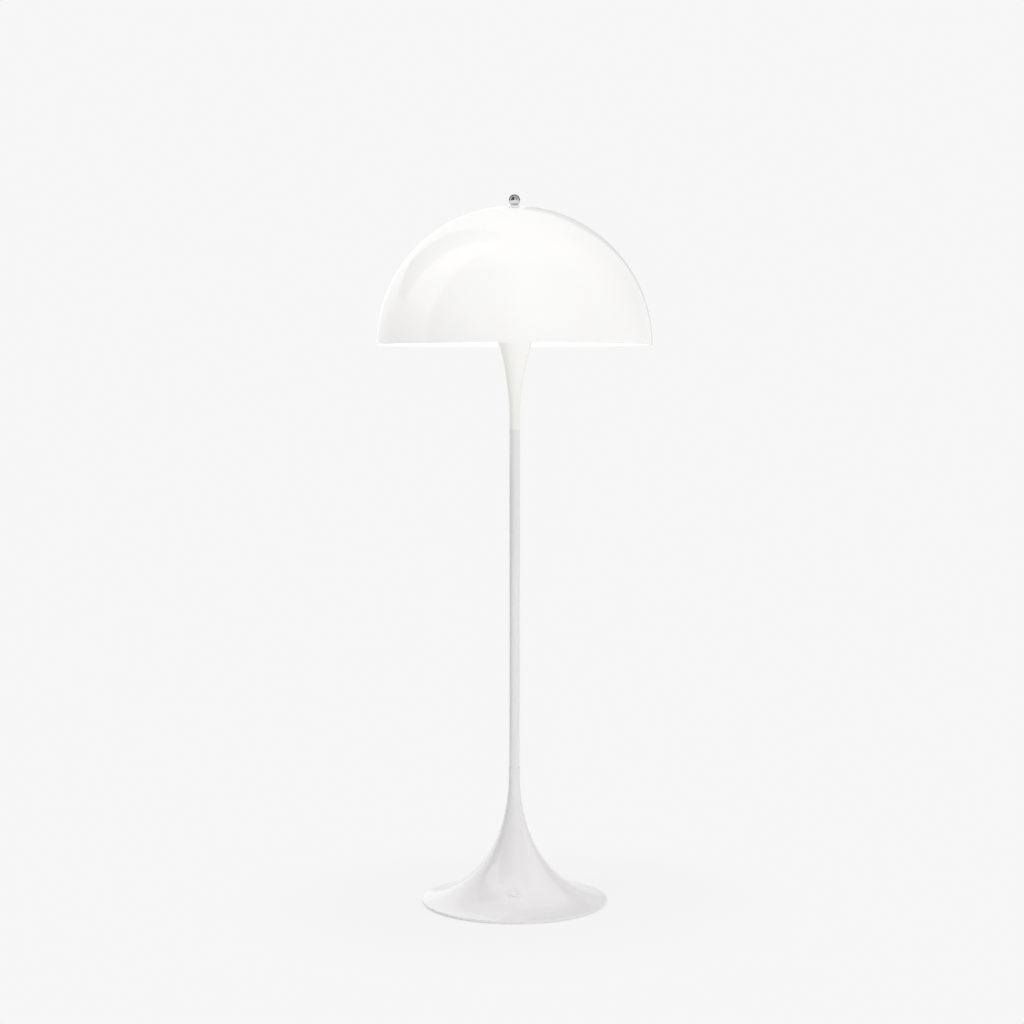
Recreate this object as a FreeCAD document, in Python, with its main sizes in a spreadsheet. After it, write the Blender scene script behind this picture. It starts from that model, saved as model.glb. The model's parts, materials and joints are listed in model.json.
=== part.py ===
import FreeCAD, Part
import math
import os
import re
import Sketcher
from FreeCAD import Placement, Rotation, Vector

# A floor lamp with a half-sphere shade of opal acrylic, an opal trumpet that glows below it, a thin
# white tube and a white trumpet-shaped foot with a foot button. Millimetres; the origin is the
# centre of the foot on the floor, +Z is up and the button faces -Y.

SIZES = {
    # foot: what it stands on
    "foot_ring_height": 1.2,
    "foot_ring_inset": 8.0,
    "foot_ring_width": 16.0,
    "plate_thickness": 1.5,
    "plate_inset": 1.5,
    # foot: the spun shell, whose flank is three tangent arcs that turn outwards on the way down
    "base_radius": 170.0,
    "base_height": 250.0,
    "lip_height": 3.8,
    "shell_wall": 2.5,
    "collar_wall": 0.7,
    "flank_bend_top": 312.0,
    "flank_turn_top": 18.6,
    "flank_bend_mid": 200.0,
    "flank_turn_mid": 28.7,
    "flank_bend_low": 170.0,
    # foot: the weight and what clamps it
    "ballast_gap": 1.5,
    "ballast_inset": 20.0,
    "ballast_height": 14.0,
    "nut_recess": 8.0,
    "nut_recess_gap": 1.0,
    "plate_screw_circle": 100.0,
    "plate_screw_radius": 2.5,
    "plate_screw_length": 12.0,
    "plate_screw_head_radius": 4.75,
    "plate_screw_head_height": 0.9,
    "socket_height": 48.0,
    # foot: the button and its switch, measured along the button's own axis
    "button_reach": 95.4,
    "button_radius": 7.5,
    "button_rise": 1.2,
    "button_crown": 1.0,
    "button_gap": 0.4,
    "button_skin": 1.5,
    "button_wall": 0.75,
    "button_lip": 1.1,
    "button_lip_height": 1.5,
    "button_travel": 2.5,
    "button_post_radius": 1.8,
    "button_post_gap": 1.4,
    "bezel_wall": 1.0,
    "bezel_flange": 2.1,
    "bezel_rise": 0.5,
    "bezel_seat": 0.6,
    "bezel_shoulder": 4.0,
    "barrel_depth": 14.0,
    "ring_nut_height": 3.0,
    "ring_nut_width": 3.0,
    "spring_radius": 4.5,
    "spring_wire_radius": 0.4,
    "spring_turns": 5.0,
    "switch_flange_height": 2.0,
    "switch_radius": 7.0,
    "switch_height": 6.0,
    "switch_floor": 2.0,
    # foot: the dimmer, the terminals and the cord's way in
    "dimmer_length": 52.0,
    "dimmer_width": 36.0,
    "dimmer_height": 20.0,
    "dimmer_reach": 45.0,
    "dimmer_wall": 1.8,
    "dimmer_post_radius": 3.2,
    "board_thickness": 1.6,
    "board_standoff": 4.0,
    "board_leg_radius": 1.6,
    "board_leg_reach": 11.8,
    "component_reach": 7.2,
    "choke_radius": 5.9,
    "choke_height": 6.3,
    "capacitor_length": 11.8,
    "capacitor_width": 6.0,
    "capacitor_height": 8.8,
    "thyristor_length": 8.8,
    "thyristor_width": 3.2,
    "thyristor_height": 10.0,
    "case_screw_radius": 1.3,
    "case_screw_length": 9.0,
    "case_screw_head_radius": 2.6,
    "case_screw_head_height": 1.3,
    "terminal_length": 22.0,
    "terminal_width": 16.0,
    "terminal_height": 13.0,
    "terminal_reach": 88.0,
    "terminal_screw_radius": 2.0,
    "terminal_screw_depth": 5.0,
    "terminal_screw_height": 4.0,
    "gland_bore_radius": 3.1,
    "gland_wall": 1.5,
    "gland_length": 30.0,
    "gland_stand_out": 2.0,
    "gland_ear": 4.0,
    "gland_ear_depth": 2.5,
    "gland_channel_gap": 0.5,
    # stem
    "tube_radius": 9.5,
    "tube_wall": 1.2,
    "tube_show": 620.0,
    "rod_radius": 5.0,
    "rod_wall": 1.5,
    "rod_nut_across": 15.0,
    "rod_nut_height": 5.0,
    "washer_thickness": 1.5,
    "washer_radius": 11.0,
    "foot_bush_height": 30.0,
    "bush_thread": 25.0,
    "top_bush_height": 35.0,
    "top_bush_spigot": 14.0,
    "lead_slot_bottom": 30.0,
    "lead_slot_height": 26.0,
    "lead_slot_width": 5.0,
    # glowing neck and bowl: a straight start, then three tangent arcs that open outwards
    "trumpet_wall": 2.5,
    "trumpet_straight": 16.0,
    "trumpet_bend_low": 460.0,
    "trumpet_turn_low": 20.0,
    "trumpet_bend_mid": 150.0,
    "trumpet_turn_mid": 32.0,
    "trumpet_bend_top": 95.0,
    "trumpet_turn_top": 26.0,
    "clamp_step": 4.0,
    "clamp_height": 8.0,
    # lampholders
    "hub_height": 32.0,
    "hub_radius": 11.0,
    "hub_thread": 14.0,
    "hub_window_radius": 2.6,
    "hub_stud_thread": 8.0,
    "hub_chamber_step": 0.5,
    "arm_thickness": 2.0,
    "arm_half_width": 9.0,
    "arm_disc_radius": 16.0,
    "holder_circle": 34.0,
    "holder_radius": 14.0,
    "holder_height": 52.0,
    "holder_floor": 8.0,
    "holder_room": 8.0,
    "holder_mouth_chamfer": 1.5,
    "nipple_drop": 12.0,
    "nipple_wall": 1.6,
    "nipple_nut_across": 14.0,
    "nipple_nut_height": 3.0,
    "screw_shell_wall": 0.6,
    "screw_shell_height": 30.0,
    "screw_shell_lift": 8.0,
    "contact_disc_height": 1.5,
    "contact_pin_radius": 2.0,
    # bulbs
    "cap_radius": 6.9,
    "cap_height": 26.0,
    "cap_contact_radius": 3.2,
    "cap_contact_height": 2.0,
    "globe_radius": 22.5,
    "globe_lift": 21.0,
    "globe_wall": 0.8,
    "globe_neck_angle": 50.0,
    # shade
    "rim_rise": 154.0,
    "shade_radius": 250.0,
    "shade_wall": 3.0,
    "shade_rim_round": 1.0,
    "shade_hole_gap": 1.5,
    "gasket_inner_radius": 14.0,
    "gasket_outer_radius": 38.0,
    "gasket_thickness": 1.5,
    "carrier_radius": 40.0,
    "carrier_thickness": 2.5,
    "carrier_boss_radius": 9.0,
    "carrier_boss_height": 3.0,
    "stud_radius": 3.0,
    "stud_nut_across": 10.0,
    "stud_nut_height": 5.0,
    # finial
    "crown_pad_radius": 7.5,
    "crown_pad_thickness": 0.5,
    "finial_washer_radius": 8.0,
    "finial_washer_thickness": 2.0,
    "finial_washer_round": 0.8,
    "finial_radius": 10.0,
    "finial_flat_drop": 8.5,
    "finial_thread": 9.5,
    "finial_thread_relief": 0.5,
    # wiring
    "stem_lead_radius": 2.2,
    "small_lead_radius": 1.3,
    "lead_run": 5.2,
    "lead_aside": 15.0,
    "lead_dip": 24.0,
    # clearances
    "thread_fit": 0.05,
    "slip_fit": 0.1,
    "running_gap": 0.1,
}

# Places worked out from the sizes. The flank's and the trumpet's arcs are tangent to each other, so
# each corner follows from the bends and turns before it; *_c and *_s are the cosine and sine of
# the outline's turn away from upright at that corner.
PLACES = {
    "shell_bottom": "foot_ring_height + plate_thickness",
    "lip_top": "shell_bottom + lip_height",
    "tube_bore": "tube_radius - tube_wall",
    "collar_bore": "tube_radius + slip_fit",
    "collar_radius": "collar_bore + collar_wall",
    "flank1_c": "cos(flank_turn_top)",
    "flank1_s": "sin(flank_turn_top)",
    "flank2_c": "cos(flank_turn_top + flank_turn_mid)",
    "flank2_s": "sin(flank_turn_top + flank_turn_mid)",
    "flank1_r": "collar_radius + flank_bend_top * (1 - flank1_c)",
    "flank2_r": "flank1_r + flank_bend_mid * (flank1_c - flank2_c)",
    "flank3_c": "flank2_c - (base_radius - flank2_r) / flank_bend_low",
    "flank3_s": "sqrt(1 - flank3_c ^ 2)",
    "flank2_z": "lip_top + flank_bend_low * (flank3_s - flank2_s)",
    "flank1_z": "flank2_z + flank_bend_mid * (flank2_s - flank1_s)",
    "flank0_z": "flank1_z + flank_bend_top * flank1_s",
    "low_centre_r": "flank2_r + flank_bend_low * flank2_c",
    "low_centre_z": "flank2_z + flank_bend_low * flank2_s",
    "top_centre_r": "collar_radius + flank_bend_top",
    "under_bend_low": "flank_bend_low + shell_wall",
    "under_bend_top": "flank_bend_top + shell_wall",
    "lip_inner_r": "base_radius - shell_wall",
    "lip_inner_z": "low_centre_z - sqrt(under_bend_low ^ 2 - (low_centre_r - lip_inner_r) ^ 2)",
    "seat_z": "flank0_z - sqrt(under_bend_top ^ 2 - (top_centre_r - collar_bore) ^ 2)",
    "socket_z": "seat_z - socket_height",
    "socket_r": "top_centre_r - sqrt(under_bend_top ^ 2 - (flank0_z - socket_z) ^ 2)",
    "ballast_bend": "under_bend_low + ballast_gap",
    "ballast_r": "base_radius - ballast_inset",
    "ballast_edge_z": "low_centre_z - sqrt(ballast_bend ^ 2 - (low_centre_r - ballast_r) ^ 2)",
    "ballast_top": "shell_bottom + ballast_height",
    "ballast_top_r": "low_centre_r - sqrt(ballast_bend ^ 2 - (low_centre_z - ballast_top) ^ 2)",
    "plate_r": "base_radius - plate_inset",
    "nut_recess_r": "washer_radius + nut_recess_gap",
    "rod_hole": "rod_radius + thread_fit",
    "rod_bore": "rod_radius - rod_wall",
    "button_c": "(low_centre_r - button_reach) / flank_bend_low",
    "button_s": "sqrt(1 - button_c ^ 2)",
    "button_z": "low_centre_z - flank_bend_low * button_s",
    "bezel_bore": "button_radius + button_gap",
    "button_lip_r": "button_radius + button_lip",
    "barrel_bore": "button_lip_r + button_gap",
    "barrel_r": "barrel_bore + bezel_wall",
    "bezel_flange_r": "barrel_r + bezel_flange",
    "button_lip_z": "0 - bezel_shoulder - running_gap",
    "button_foot_z": "button_lip_z - button_lip_height",
    "button_roof_z": "button_rise - button_skin",
    "post_foot_z": "button_post_gap - barrel_depth",
    "switch_depth": "barrel_depth + switch_flange_height + switch_height",
    "switch_lead_depth": "switch_depth + lead_run",
    "switch_room_x": "lead_aside + small_lead_radius + ballast_gap",
    "switch_room_y": "switch_lead_depth * button_c + switch_radius + ballast_gap - button_reach",
    "gland_r": "gland_bore_radius + gland_wall",
    "gland_z": "foot_ring_height + gland_r",
    "gland_back": "base_radius + gland_stand_out",
    "gland_front": "gland_back - gland_length",
    "tube_top": "base_height + tube_show",
    "trumpet_bore": "tube_radius - trumpet_wall",
    "bell1_c": "cos(trumpet_turn_low)",
    "bell1_s": "sin(trumpet_turn_low)",
    "bell2_c": "cos(trumpet_turn_low + trumpet_turn_mid)",
    "bell2_s": "sin(trumpet_turn_low + trumpet_turn_mid)",
    "bell3_c": "cos(trumpet_turn_low + trumpet_turn_mid + trumpet_turn_top)",
    "bell3_s": "sin(trumpet_turn_low + trumpet_turn_mid + trumpet_turn_top)",
    "bell0_z": "tube_top + trumpet_straight",
    "bell1_r": "tube_radius + trumpet_bend_low * (1 - bell1_c)",
    "bell1_z": "bell0_z + trumpet_bend_low * bell1_s",
    "bell2_r": "bell1_r + trumpet_bend_mid * (bell1_c - bell2_c)",
    "bell2_z": "bell1_z + trumpet_bend_mid * (bell2_s - bell1_s)",
    "bell3_r": "bell2_r + trumpet_bend_top * (bell2_c - bell3_c)",
    "bell3_z": "bell2_z + trumpet_bend_top * (bell3_s - bell2_s)",
    "inner_bend_low": "trumpet_bend_low + trumpet_wall",
    "inner_bend_mid": "trumpet_bend_mid + trumpet_wall",
    "clamp_low_r": "trumpet_bore + clamp_step",
    "clamp_low_z": "bell0_z + sqrt(inner_bend_low ^ 2 - (tube_radius + trumpet_bend_low - clamp_low_r) ^ 2)",
    "clamp_top_z": "clamp_low_z + clamp_height",
    "clamp_top_r": "tube_radius + trumpet_bend_low - sqrt(inner_bend_low ^ 2 - (clamp_top_z - bell0_z) ^ 2)",
    "bowl_centre_r": "bell1_r + trumpet_bend_mid * bell1_c",
    "bowl_centre_z": "bell1_z - trumpet_bend_mid * bell1_s",
    "bowl_room_r": "holder_circle + holder_radius + holder_room",
    "arm_z": "bowl_centre_z + sqrt(inner_bend_mid ^ 2 - (bowl_centre_r - bowl_room_r) ^ 2)",
    "holder_z": "arm_z + arm_thickness",
    "hub_z": "arm_z - hub_height",
    "hub_chamber_r": "rod_radius - hub_chamber_step",
    "window_z": "(hub_z + hub_thread + arm_z - hub_stud_thread) / 2",
    "contact_z": "holder_z + holder_floor + screw_shell_lift",
    "cap_z": "contact_z + cap_contact_height",
    "cap_top": "cap_z + cap_height",
    "mouth_z": "holder_z + holder_height",
    "globe_rise": "mouth_z - cap_top + globe_lift",
    "screw_shell_step": "holder_floor + screw_shell_lift / 2",
    "screw_shell_bore": "cap_radius + slip_fit",
    "screw_shell_r": "screw_shell_bore + screw_shell_wall",
    "nipple_bore": "rod_radius - nipple_wall",
    "rim_z": "tube_top + rim_rise",
    "shade_inner": "shade_radius - shade_wall",
    "shade_hole": "stud_radius + shade_hole_gap",
    "stud_hole": "stud_radius + slip_fit",
    "gasket_under": "shade_inner - gasket_thickness",
    "carrier_under": "gasket_under - carrier_thickness",
    "carrier_foot": "sqrt(carrier_under ^ 2 - carrier_boss_radius ^ 2) - carrier_boss_height",
    "pad_top": "shade_radius + crown_pad_thickness",
    "finial_seat": "pad_top + finial_washer_thickness",
    "finial_z": "rim_z + finial_seat",
    "finial_flat_r": "sqrt(finial_radius ^ 2 - finial_flat_drop ^ 2)",
}

HOLDER_ANGLES = (-90, 30, 150)
SCREW_COUNT = 4
TOLERANCE = 1e-4
BEND_SHARE = 0.45
SCREW_PLACE = ("plate_screw_circle * cos(45)", "plate_screw_circle * sin(45)")

doc = FreeCAD.newDocument("MushroomFloorLamp")
links = {name: "Sizes." + name for name in SIZES}
links.update({name: "Places." + name for name in PLACES})


def linked(expression):
    """The expression with every size and place written as a reference to its cell."""
    return re.sub(r"[a-z][a-z_0-9]*", lambda word: links.get(word.group(), word.group()), expression)


def fill_sheet(label, cells, prefix=""):
    """A sheet with a name and a value in each row, and the name as the value's alias."""
    sheet = doc.addObject("Spreadsheet::Sheet", label)
    for row, (name, content) in enumerate(cells.items(), start=1):
        sheet.set(f"A{row}", name)
        sheet.set(f"B{row}", prefix + linked(str(content)))
        sheet.setAlias(f"B{row}", name)
    doc.recompute()
    return sheet


sizes = fill_sheet("Sizes", SIZES)
fill_sheet("Places", PLACES, prefix="=")
pieces = []


def number(expression):
    """What an expression of sizes and places comes to."""
    return float(sizes.evalExpression(linked(str(expression))))


def bind(target, path, expression):
    target.setExpression(path, linked(expression))


def piece(feature, label):
    """Names a finished sub-part and adds it to those that are written out."""
    feature.Label = label
    pieces.append(feature)
    return feature


def new_body(label, z="0"):
    body = doc.addObject("PartDesign::Body", "Body_" + label)
    bind(body, "Placement.Base.z", z)
    return piece(body, label)


def lean_with_button(feature, path, depth="0"):
    """Puts a placement on the button's axis, this deep under the flank, with +Z pointing outwards."""
    setattr(feature, path, Placement(Vector(), Rotation(Vector(1, 0, 0), 1)))
    bind(feature, path + ".Rotation.Angle", "asin(button_c)")
    bind(feature, path + ".Base.y", f"({depth}) * button_c - button_reach")
    bind(feature, path + ".Base.z", f"button_z - ({depth}) * button_s")


def new_sketch(body, plane="XY_Plane", along_normal="0"):
    """A sketch on one of the body's origin planes, moved along that plane's normal."""
    sketch = body.newObject("Sketcher::SketchObject", "Sketch")
    support = next(item for item in body.Origin.OriginFeatures if item.Role == plane)
    sketch.AttachmentSupport = [(support, "")]
    sketch.MapMode = "FlatFace"
    bind(sketch, "AttachmentOffset.Base.z", along_normal)
    return sketch


def corner(x, y, left=None, right=None):
    """A corner of an outline. The edge that leaves it is straight, or bends left or right."""
    return x, y, left or right, 1 if left else -1


def pin(sketch, geometry, point, x, y):
    """Fixes a point of a sketch at two expressions."""
    for kind, expression in (("DistanceX", x), ("DistanceY", y)):
        rule = Sketcher.Constraint(kind, -1, 1, geometry, point, number(expression))
        bind(sketch, f"Constraints[{sketch.addConstraint(rule)}]", expression)


def bend_edge(start, end, radius, side):
    """The arc of this radius from start to end whose centre lies to the left (+1) or right (-1)."""
    chord = end - start
    rise = math.sqrt(max(radius ** 2 - chord.Length ** 2 / 4, 0))
    centre = (start + end) / 2 + Vector(-chord.y, chord.x) * (side * rise / chord.Length)
    first, last = (start, end) if side > 0 else (end, start)
    angles = [math.atan2(spot.y - centre.y, spot.x - centre.x) for spot in (first, last)]
    return Part.ArcOfCircle(Part.Circle(centre, Vector(0, 0, 1), radius), *angles)


def draw(sketch, corners):
    """A closed outline through the corners, each fixed by its two expressions."""
    spots = [Vector(number(x), number(y)) for x, y, _, _ in corners]
    edges = []
    for index, (x, y, radius, side) in enumerate(corners):
        start, end = spots[index], spots[(index + 1) % len(spots)]
        if radius:
            edge = sketch.addGeometry(bend_edge(start, end, number(radius), side), False)
        else:
            edge = sketch.addGeometry(Part.LineSegment(start, end), False)
        first, last = (2, 1) if radius and side < 0 else (1, 2)
        pin(sketch, edge, first, x, y)
        if radius:
            rule = Sketcher.Constraint("Radius", edge, number(radius))
            bind(sketch, f"Constraints[{sketch.addConstraint(rule)}]", radius)
        edges.append((edge, first, last))
    for (edge, _, last), (after, first, _) in zip(edges, edges[1:] + edges[:1]):
        sketch.addConstraint(Sketcher.Constraint("Coincident", edge, last, after, first))


def draw_circle(sketch, radius, x="0", y="0"):
    centre = Vector(number(x), number(y))
    edge = sketch.addGeometry(Part.Circle(centre, Vector(0, 0, 1), number(radius)), False)
    pin(sketch, edge, 3, x, y)
    rule = Sketcher.Constraint("Radius", edge, number(radius))
    bind(sketch, f"Constraints[{sketch.addConstraint(rule)}]", radius)


def draw_box(sketch, x_low, y_low, x_high, y_high):
    draw(sketch, [
        corner(x_low, y_low), corner(x_high, y_low), corner(x_high, y_high), corner(x_low, y_high),
    ])


def draw_hexagon(sketch, across, x="0", y="0"):
    """A hexagon with this distance across its flats."""
    draw(sketch, [
        corner(f"{x} + {across} / sqrt(3) * cos({turn})", f"{y} + {across} / sqrt(3) * sin({turn})")
        for turn in range(0, 360, 60)
    ])


def turn_about_z(body, corners):
    """Revolves an outline of radius and height about the body's own Z axis."""
    sketch = new_sketch(body, "XZ_Plane")
    draw(sketch, corners)
    feature = body.newObject("PartDesign::Revolution", "Revolution")
    feature.Profile = sketch
    feature.ReferenceAxis = (sketch, ["V_Axis"])
    feature.Angle = 360
    return feature


def turned(label, corners, z="0"):
    body = new_body(label, z)
    turn_about_z(body, corners)
    return body


def ring(label, inner, outer, height, z="0"):
    """A plain washer, tube or collar."""
    return turned(label, [
        corner(inner, "0"), corner(outer, "0"), corner(outer, height), corner(inner, height),
    ], z)


def pad(body, sketch, length):
    feature = body.newObject("PartDesign::Pad", "Pad")
    feature.Profile = sketch
    bind(feature, "Length", length)
    return feature


def pocket(body, sketch, length, towards_normal=False):
    """Cuts from the sketch against its normal, or along it, and makes sure that it cut something."""
    doc.recompute()
    before = body.Shape.Volume
    feature = body.newObject("PartDesign::Pocket", "Pocket")
    feature.Profile = sketch
    feature.Reversed = towards_normal
    bind(feature, "Length", length)
    doc.recompute()
    if not body.Shape.Volume < before:
        raise RuntimeError(f"{body.Label}: {feature.Name} cuts nothing")
    return feature


def around_z(body, features, count):
    """Repeats features evenly about the body's Z axis."""
    doc.recompute()
    axis = next(item for item in body.Origin.OriginFeatures if item.Role == "Z_Axis")
    pattern = body.newObject("PartDesign::PolarPattern", "PolarPattern")
    pattern.Originals = features
    pattern.Axis = (axis, [""])
    pattern.Angle = 360
    pattern.Occurrences = count
    body.Tip = pattern
    return pattern


def round_edges(body, radius, chosen):
    """Fillets the edges of the body's tip that the test picks by their middle point."""
    doc.recompute()
    base = body.Tip
    names = [
        f"Edge{index}" for index, edge in enumerate(base.Shape.Edges, start=1)
        if chosen(edge.valueAt((edge.FirstParameter + edge.LastParameter) / 2))
    ]
    feature = body.newObject("PartDesign::Fillet", "Fillet")
    feature.Base = (base, names)
    bind(feature, "Radius", radius)
    return feature


def nut(label, across, hole, height, z):
    body = new_body(label, z)
    sketch = new_sketch(body)
    draw_hexagon(sketch, across)
    draw_circle(sketch, hole)
    pad(body, sketch, height)
    return body


def at_radius(radius):
    """A test for edges that run round the Z axis at this radius."""
    wanted = number(radius)
    return lambda spot: abs(math.hypot(spot.x, spot.y) - wanted) < TOLERANCE


# Foot: ring, plate, shell -------------------------------------------------------------------------

def make_foot_ring():
    ring("foot_ring", "base_radius - foot_ring_inset - foot_ring_width",
         "base_radius - foot_ring_inset", "foot_ring_height")


def make_bottom_plate():
    """Steel disc with four screw holes and a notch for the cord's gland."""
    body = new_body("bottom_plate", "foot_ring_height")
    disc = new_sketch(body)
    draw_circle(disc, "plate_r")
    pad(body, disc, "plate_thickness")
    hole = new_sketch(body, along_normal="plate_thickness")
    draw_circle(hole, "plate_screw_radius + slip_fit", *SCREW_PLACE)
    drilled = pocket(body, hole, "plate_thickness")
    around_z(body, [drilled], SCREW_COUNT)
    notch = new_sketch(body, along_normal="plate_thickness")
    draw_box(notch, "0 - gland_r - slip_fit", "gland_front - slip_fit",
             "gland_r + slip_fit", "gland_back")
    pocket(body, notch, "plate_thickness")


def make_base_shell():
    """The spun flank with its collar, the button's flat seat and hole, and the gland's notch."""
    body = turned("base_shell", [
        corner("collar_radius", "base_height"),
        corner("collar_radius", "flank0_z", left="flank_bend_top"),
        corner("flank1_r", "flank1_z", left="flank_bend_mid"),
        corner("flank2_r", "flank2_z", left="flank_bend_low"),
        corner("base_radius", "lip_top"),
        corner("base_radius", "shell_bottom"),
        corner("lip_inner_r", "shell_bottom"),
        corner("lip_inner_r", "lip_inner_z", right="under_bend_low"),
        corner("flank2_r - shell_wall * flank2_c", "flank2_z - shell_wall * flank2_s",
               right="flank_bend_mid + shell_wall"),
        corner("flank1_r - shell_wall * flank1_c", "flank1_z - shell_wall * flank1_s",
               right="under_bend_top"),
        corner("collar_bore", "seat_z"),
        corner("collar_bore", "base_height"),
    ])
    seat = new_sketch(body)
    lean_with_button(seat, "AttachmentOffset", "bezel_seat")
    draw_circle(seat, "bezel_flange_r + slip_fit")
    pocket(body, seat, "shell_wall", towards_normal=True)
    hole = new_sketch(body)
    lean_with_button(hole, "AttachmentOffset")
    draw_circle(hole, "barrel_r + slip_fit")
    pocket(body, hole, "shell_wall * 2")
    notch = new_sketch(body, "XZ_Plane", "0 - gland_front")
    draw_circle(notch, "gland_r + slip_fit", "0", "gland_z")
    pocket(body, notch, "gland_length")


# Foot: weight and clamping ------------------------------------------------------------------------

def make_ballast():
    """Cast weight whose top follows the underside of the flank, with room for switch and cord."""
    body = turned("ballast", [
        corner("nut_recess_r", "shell_bottom"),
        corner("ballast_r", "shell_bottom"),
        corner("ballast_r", "ballast_edge_z", right="ballast_bend"),
        corner("ballast_top_r", "ballast_top"),
        corner("rod_hole", "ballast_top"),
        corner("rod_hole", "shell_bottom + nut_recess"),
        corner("nut_recess_r", "shell_bottom + nut_recess"),
    ])
    switch_room = new_sketch(body, along_normal="ballast_top")
    draw_box(switch_room, "0 - switch_room_x", "0 - button_reach - ballast_gap",
             "switch_room_x", "switch_room_y")
    pocket(body, switch_room, "ballast_height")
    channel = new_sketch(body, along_normal="ballast_top")
    draw_box(channel, "0 - gland_r - gland_channel_gap", "terminal_reach + terminal_width / 2",
             "gland_r + gland_channel_gap", "base_radius")
    pocket(body, channel, "ballast_height")
    tapped = new_sketch(body, along_normal="shell_bottom")
    draw_circle(tapped, "plate_screw_radius + thread_fit", *SCREW_PLACE)
    drilled = pocket(body, tapped, "plate_screw_length", towards_normal=True)
    around_z(body, [drilled], SCREW_COUNT)


def make_plate_screws():
    """Four screws whose flat heads bear on the plate from below, inside the foot ring's height."""
    body = new_body("plate_screws", "foot_ring_height")
    shank = new_sketch(body)
    draw_circle(shank, "plate_screw_radius", *SCREW_PLACE)
    head = new_sketch(body, along_normal="0 - plate_screw_head_height")
    draw_circle(head, "plate_screw_head_radius", *SCREW_PLACE)
    made = [pad(body, shank, "plate_screw_length"), pad(body, head, "plate_screw_head_height")]
    around_z(body, made, SCREW_COUNT)


def make_foot_clamp():
    """Hollow rod with a slot for the lead, and the washer and nut that pull it down."""
    ring("foot_washer", "rod_hole", "washer_radius", "washer_thickness",
         "shell_bottom + nut_recess - washer_thickness")
    nut("foot_nut", "rod_nut_across", "rod_hole", "rod_nut_height",
        "shell_bottom + nut_recess - washer_thickness - rod_nut_height")
    low = "shell_bottom + nut_recess - washer_thickness - rod_nut_height"
    rod = ring("foot_rod", "rod_bore", "rod_radius", f"seat_z + bush_thread - ({low})", low)
    slot = new_sketch(rod, "XZ_Plane")
    draw_box(slot, "0 - lead_slot_width / 2", f"lead_slot_bottom - ({low})",
             "lead_slot_width / 2", f"lead_slot_bottom + lead_slot_height - ({low})")
    pocket(rod, slot, "rod_radius * 2")


def make_neck_socket():
    """Cone welded under the foot's neck: its top is the seat that the stem is pulled against."""
    turned("neck_socket", [
        corner("rod_hole + slip_fit", "socket_z"),
        corner("socket_r", "socket_z", right="under_bend_top"),
        corner("collar_bore", "seat_z"),
        corner("rod_hole + slip_fit", "seat_z"),
    ])


# Foot: button and switch, in the button's own frame -----------------------------------------------

def on_button_axis(label):
    body = new_body(label)
    lean_with_button(body, "Placement")
    return body


def make_button():
    bezel = on_button_axis("button_bezel")
    turn_about_z(bezel, [
        corner("bezel_bore", "bezel_rise"),
        corner("bezel_bore", "0 - bezel_shoulder"),
        corner("barrel_bore", "0 - bezel_shoulder"),
        corner("barrel_bore", "0 - barrel_depth"),
        corner("barrel_r", "0 - barrel_depth"),
        corner("barrel_r", "0 - bezel_seat"),
        corner("bezel_flange_r", "0 - bezel_seat"),
        corner("bezel_flange_r", "0", left="bezel_rise"),
        corner("bezel_flange_r - bezel_rise", "bezel_rise"),
    ])
    grip = on_button_axis("button_nut")
    nut_top = "0 - shell_wall - bezel_seat"
    turn_about_z(grip, [
        corner("barrel_r + thread_fit", nut_top + " - ring_nut_height"),
        corner("barrel_r + ring_nut_width", nut_top + " - ring_nut_height"),
        corner("barrel_r + ring_nut_width", nut_top),
        corner("barrel_r + thread_fit", nut_top),
    ])
    cap = on_button_axis("button_cap")
    turn_about_z(cap, [
        corner("0", "post_foot_z"),
        corner("button_post_radius", "post_foot_z"),
        corner("button_post_radius", "button_roof_z"),
        corner("button_radius - button_wall", "button_roof_z"),
        corner("button_radius - button_wall", "button_foot_z"),
        corner("button_lip_r", "button_foot_z"),
        corner("button_lip_r", "button_lip_z"),
        corner("button_radius", "button_lip_z"),
        corner("button_radius", "button_rise - button_crown", left="button_crown"),
        corner("button_radius - button_crown", "button_rise"),
        corner("0", "button_rise"),
    ])


def make_button_spring():
    """Coil between the top of the switch and the roof of the cap."""
    body = on_button_axis("button_spring")
    coil = new_sketch(body, "XZ_Plane")
    draw_circle(coil, "spring_wire_radius", "spring_radius",
                "spring_wire_radius + running_gap - barrel_depth")
    helix = body.newObject("PartDesign::AdditiveHelix", "Helix")
    helix.Profile = coil
    helix.ReferenceAxis = (coil, ["V_Axis"])
    helix.Mode = "height-turns-angle"
    climb = "button_roof_z + barrel_depth - 2 * (spring_wire_radius + running_gap)"
    bind(helix, "Height", climb)
    bind(helix, "Turns", "spring_turns")


def make_switch():
    """Push switch that closes the barrel; the cap's post works in its bore."""
    body = on_button_axis("switch_body")
    flange_under = "0 - barrel_depth - switch_flange_height"
    bottom = "0 - switch_depth"
    bore = "button_post_radius + button_gap"
    turn_about_z(body, [
        corner("0", bottom),
        corner("switch_radius", bottom),
        corner("switch_radius", flange_under),
        corner("barrel_r", flange_under),
        corner("barrel_r", "0 - barrel_depth"),
        corner(bore, "0 - barrel_depth"),
        corner(bore, bottom + " + switch_floor"),
        corner("0", bottom + " + switch_floor"),
    ])


# Foot: dimmer, terminals and gland ----------------------------------------------------------------

def block(x, y, z, length, width, height):
    """A box centred on x and y that stands on z."""
    box = doc.addObject("Part::Box", "Box")
    for path, expression in (
        ("Length", length), ("Width", width), ("Height", height), ("Placement.Base.z", z),
        ("Placement.Base.x", f"({x}) - ({length}) / 2"), ("Placement.Base.y", f"({y}) - ({width}) / 2"),
    ):
        bind(box, path, expression)
    return box


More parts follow.
